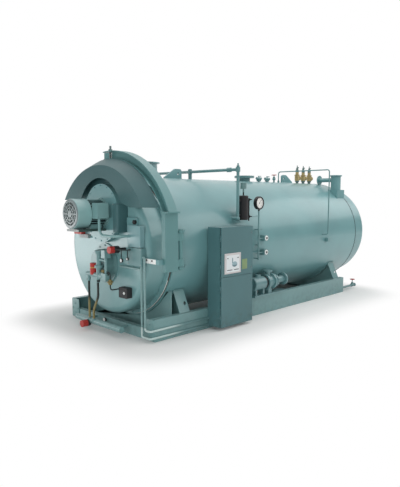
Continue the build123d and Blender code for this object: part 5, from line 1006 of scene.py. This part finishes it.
coat(surface("column_paint", column_paint, 0.46, depth=0.0012), "water_column")
coat(fitting_enamel, "gauge_tubing")
DIAL_Y, DIAL_Z, DIAL_RADIUS, DIAL_PLATE, DIAL_FLOOR = 2.170, 1.888, 0.088, 0.0012, 0.014
DIAL_START, DIAL_SWEEP = math.radians(225), math.radians(-270)
FINE_TICKS, COARSE_TICKS, TICK_DEPTH = (31, 0.076, 0.007, 0.0012), (7, 0.073, 0.013, 0.0026), 0.0014
clear_glass = {"Coat Weight": 0.5}
dial_white = surface("dial_white", srgb(244, 244, 240), 0.3, mottle=0.03, depth=0.0, fixed=clear_glass)
dial_ink = surface("dial_ink", srgb(28, 28, 30), 0.5)
dial_place = (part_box("pressure_gauge")[1].x - DIAL_FLOOR, DIAL_Y, DIAL_Z)
dial = turned([(DIAL_RADIUS, 0.0), (DIAL_RADIUS, DIAL_PLATE)])
piece("gauge_dial", [seated(dial, dial_place, RIGHTWARD)], dial_white, "boiler")
marks = []
for count, radius, length, width in (FINE_TICKS, COARSE_TICKS):
    marks.append(grow(
        spokes, count=count, start=DIAL_START, step=DIAL_SWEEP / (count - 1), radius=radius,
        size=(length, width, TICK_DEPTH), tilt=0.0, finish=dial_ink))


def figure(text, size, depth):
    """A plain number as a flat mesh, centred on the origin."""
    written = bpy.data.curves.new("figure", "FONT")
    written.body = text
    written.size = size
    written.align_x = "CENTER"
    written.align_y = "CENTER"
    written.extrude = depth
    holder = bpy.data.objects.new("figure", written)
    bpy.context.scene.collection.objects.link(holder)
    mesh = bpy.data.meshes.new_from_object(holder.evaluated_get(bpy.context.evaluated_depsgraph_get()))
    bpy.data.objects.remove(holder)
    return mesh


NUMBERS, FIGURE_STEP, FIGURE_SIZE, FIGURE_DEPTH, FIGURE_RADIUS = 7, 2, 0.020, 0.0006, 0.055
NEEDLE_LOW, NEEDLE_HIGH, NEEDLE_EDGE = (-0.020, -0.0022, 0.002), (0.064, 0.0022, 0.0034), 0.0006
NEEDLE_TURN, MARK_LIFT = math.radians(48), 0.0008
for i in range(NUMBERS):
    turn = DIAL_START + DIAL_SWEEP * i / (NUMBERS - 1)
    number = figure(str(i * FIGURE_STEP), FIGURE_SIZE, FIGURE_DEPTH)
    spot = (FIGURE_RADIUS * math.cos(turn), FIGURE_RADIUS * math.sin(turn), 0.0)
    number.transform(Matrix.Translation(spot))
    marks.append(number)
needle = slab(NEEDLE_LOW, NEEDLE_HIGH, NEEDLE_EDGE)
needle.transform(Matrix.Rotation(NEEDLE_TURN, 4, "Z"))
pivot = turned([(0.008, 0.0), (0.008, 0.004), (0.005, 0.006)], 24)
marks += [needle, pivot]
for mark in marks:
    seated(mark, dial_place, RIGHTWARD)
    mark.transform(Matrix.Translation((MARK_LIFT, 0, 0)))
piece("gauge_marks", marks, dial_ink, "boiler")
SWITCH_FACE, SWITCH_Y, SWITCH_HEIGHTS = 1.150, 2.350, (1.301, 1.063)
cap_white = surface("cap_white", srgb(236, 238, 236), 0.4, mottle=0.03)
caps, eyes = [], []
for height in SWITCH_HEIGHTS:
    cap = turned([(0.042, 0.0), (0.042, 0.006), (0.036, 0.010)], 36)
    eye = turned([(0.019, 0.009), (0.019, 0.013), (0.015, 0.015)], 24)
    caps.append(seated(cap, (SWITCH_FACE, SWITCH_Y, height), RIGHTWARD))
    eyes.append(seated(eye, (SWITCH_FACE, SWITCH_Y, height), RIGHTWARD))
piece("switch_caps", caps, cap_white, "boiler")
piece("switch_buttons", eyes, black_plastic, "boiler")


# The feed pump stands on a bed plate on the right rail: a motor, a coupling, a ringed barrel casing and
# flanged ends. Cast iron in a darker coat of the vessel's enamel, with nuts round each flange; beside it, the
# blowdown line runs to the rear.
PUMP_SHADE, COUPLING_GAP, COUPLING_EDGE = srgb(98, 138, 141), 0.050, 0.003
PUMP_X, PUMP_Z, PUMP_BOLTS, PUMP_NUT = 1.045, 0.530, 8, 0.008
PUMP_FLANGES = ((2.730, REARWARD, 0.088), (2.960, FORWARD, 0.088), (2.430, FORWARD, 0.126))
coupling_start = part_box("pump_motor")[1].y - COUPLING_GAP


def coupled(place, colour):
    """The shadowed coupling between the motor's barrel and the pump's first ring."""
    return place.axes()[1].ramp(coupling_start, coupling_start + COUPLING_EDGE).mix(colour, IRON)


pump_enamel = enamel("pump_enamel", PUMP_SHADE, 0.42, 0.3)
coat(pump_enamel, "pump_bed", "pump_body", "blowdown_line")
coat(enamel("pump_motor_enamel", PUMP_SHADE, 0.42, 0.3, overlay=coupled), "pump_motor")
pump_nuts = [
    bolt_circle(PUMP_BOLTS, pitch, PUMP_NUT, pump_enamel, (PUMP_X, y, PUMP_Z), axis)
    for y, axis, pitch in PUMP_FLANGES]
piece("pump_nuts", pump_nuts, pump_enamel, "boiler")


# The studio: a pale floor that fades to white away from the skid, a broad light overhead, a large light at
# the rear right, a low panel at the front left, and a fill beside the camera that shows in no reflection.
# The camera stands at the front right at eye height.
FADE_START, FADE_END, NEAR_LIFT, LIFT_END = 0.40, 1.20, 0.14, 0.40
FLOOR_REACH, FLOOR_SIDES, WHITE = 40.0, 96, (1, 1, 1, 1)
scene = bpy.context.scene
scene.view_settings.view_transform = "Standard"


def ray_kinds(tree):
    """Wires that are 1 on rays from the camera, on mirrored rays, and on rays through glass."""
    rays = tree.nodes.new("ShaderNodeLightPath")
    return [Wire(tree, rays.outputs[f"Is {kind} Ray"]) for kind in ("Camera", "Glossy", "Transmission")]


def past_span(wire, low, high):
    """How far a place lies outside a span, and 0 within it."""
    return ((wire - (low + high) / 2).math("ABSOLUTE") - (high - low) / 2).math("MAXIMUM", 0.0)


floor_material = bpy.data.materials.new("studio_floor")
floor_material.use_nodes = True
tree = floor_material.node_tree
tree.nodes.clear()
place = Wire(tree, tree.nodes.new("ShaderNodeTexCoord").outputs["Object"])
x, y = place.axes()[:2]
skid_low, skid_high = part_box("base_rail_left")[0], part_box("base_rail_right")[1]
away = past_span(x, skid_low.x, skid_high.x).hypot(past_span(y, skid_low.y, skid_high.y))
far = away.ramp(FADE_START, FADE_END)
lift = away.ramp(0.0, LIFT_END) * NEAR_LIFT
camera_ray, glossy_ray, transmission_ray = ray_kinds(tree)
matt = place.node("ShaderNodeBsdfDiffuse", {}, {"Color": srgb(240, 240, 239)})
white = place.node("ShaderNodeEmission", {}, {"Color": WHITE, "Strength": 1.0})
faded = (camera_ray + glossy_ray + transmission_ray).math("MINIMUM", 1.0) * (far + lift - far * lift)
floor_look = place.node("ShaderNodeMixShader", {}, {0: faded, 1: matt, 2: white})
tree.links.new(floor_look.socket, tree.nodes.new("ShaderNodeOutputMaterial").inputs["Surface"])
ground = bmesh.new()
bmesh.ops.create_circle(ground, cap_ends=True, segments=FLOOR_SIDES, radius=FLOOR_REACH)
floor_mesh = as_mesh(ground, "studio_floor")
floor_mesh.materials.append(floor_material)
floor = bpy.data.objects.new("studio_floor", floor_mesh)
scene.collection.objects.link(floor)

AMBIENT, LOW_DOME, HIGH_DOME = [(level, level, level, 1) for level in (0.44, 0.10, 0.95)]
DIAGONAL, REAR_START, REAR_END, DOME_START, DOME_END = 0.7071, 0.3, 0.8, 0.26, 0.56
world = bpy.data.worlds.new("studio")
world.use_nodes = True
scene.world = world
tree = world.node_tree
tree.nodes.clear()
across_x, across_y, sky = Wire(tree, tree.nodes.new("ShaderNodeTexCoord").outputs["Generated"]).axes()
camera_ray, glossy_ray, transmission_ray = ray_kinds(tree)
behind = ((across_y - across_x) * DIAGONAL).ramp(REAR_START, REAR_END)
dome = sky.ramp(DOME_START, DOME_END).mix(behind.mix(LOW_DOME, HIGH_DOME), HIGH_DOME)
light = (glossy_ray + transmission_ray).mix(AMBIENT, dome)
light = camera_ray.mix(light, WHITE)
background = light.node("ShaderNodeBackground", {}, {"Color": light, "Strength": 1.0})
tree.links.new(background.socket, tree.nodes.new("ShaderNodeOutputWorld").inputs["Surface"])


def softbox(name, place, target, width, height, power, mirrored=True):
    """A rectangular light that the camera doesn't see, turned towards a target."""
    lamp = bpy.data.lights.new(name, "AREA")
    lamp.shape = "RECTANGLE"
    lamp.size = width
    lamp.size_y = height
    lamp.energy = power
    holder = bpy.data.objects.new(name, lamp)
    holder.location = place
    holder.rotation_euler = (Vector(target) - Vector(place)).to_track_quat("-Z", "Y").to_euler()
    holder.visible_camera = False
    holder.visible_glossy = mirrored
    scene.collection.objects.link(holder)


softbox("overhead_light", (0.4, 2.4, 7.5), (0.0, 2.4, 1.0), 7.0, 9.0, 235.0)
softbox("side_light", (5.5, 8.7, 5.4), (0.4, 2.6, 1.2), 10.5, 4.6, 235.0)
softbox("front_light", (-4.9, -3.6, 0.84), (0.0, -0.1, 0.84), 3.4, 1.5, 58.0)
softbox("fill_light", (5.2, -6.2, 1.9), (0.6, 0.6, 0.8), 5.0, 2.4, 190.0, False)

CAMERA_PLACE = (6.107, -4.137, 1.970)
CAMERA_FORWARD = (-0.70679, 0.70121, -0.09360)
CAMERA_LENS = 35.78
camera = bpy.data.objects.new("camera", bpy.data.cameras.new("camera"))
camera.data.lens = CAMERA_LENS
camera.location = CAMERA_PLACE
camera.rotation_euler = Vector(CAMERA_FORWARD).to_track_quat("-Z", "Y").to_euler()
scene.collection.objects.link(camera)
scene.camera = camera
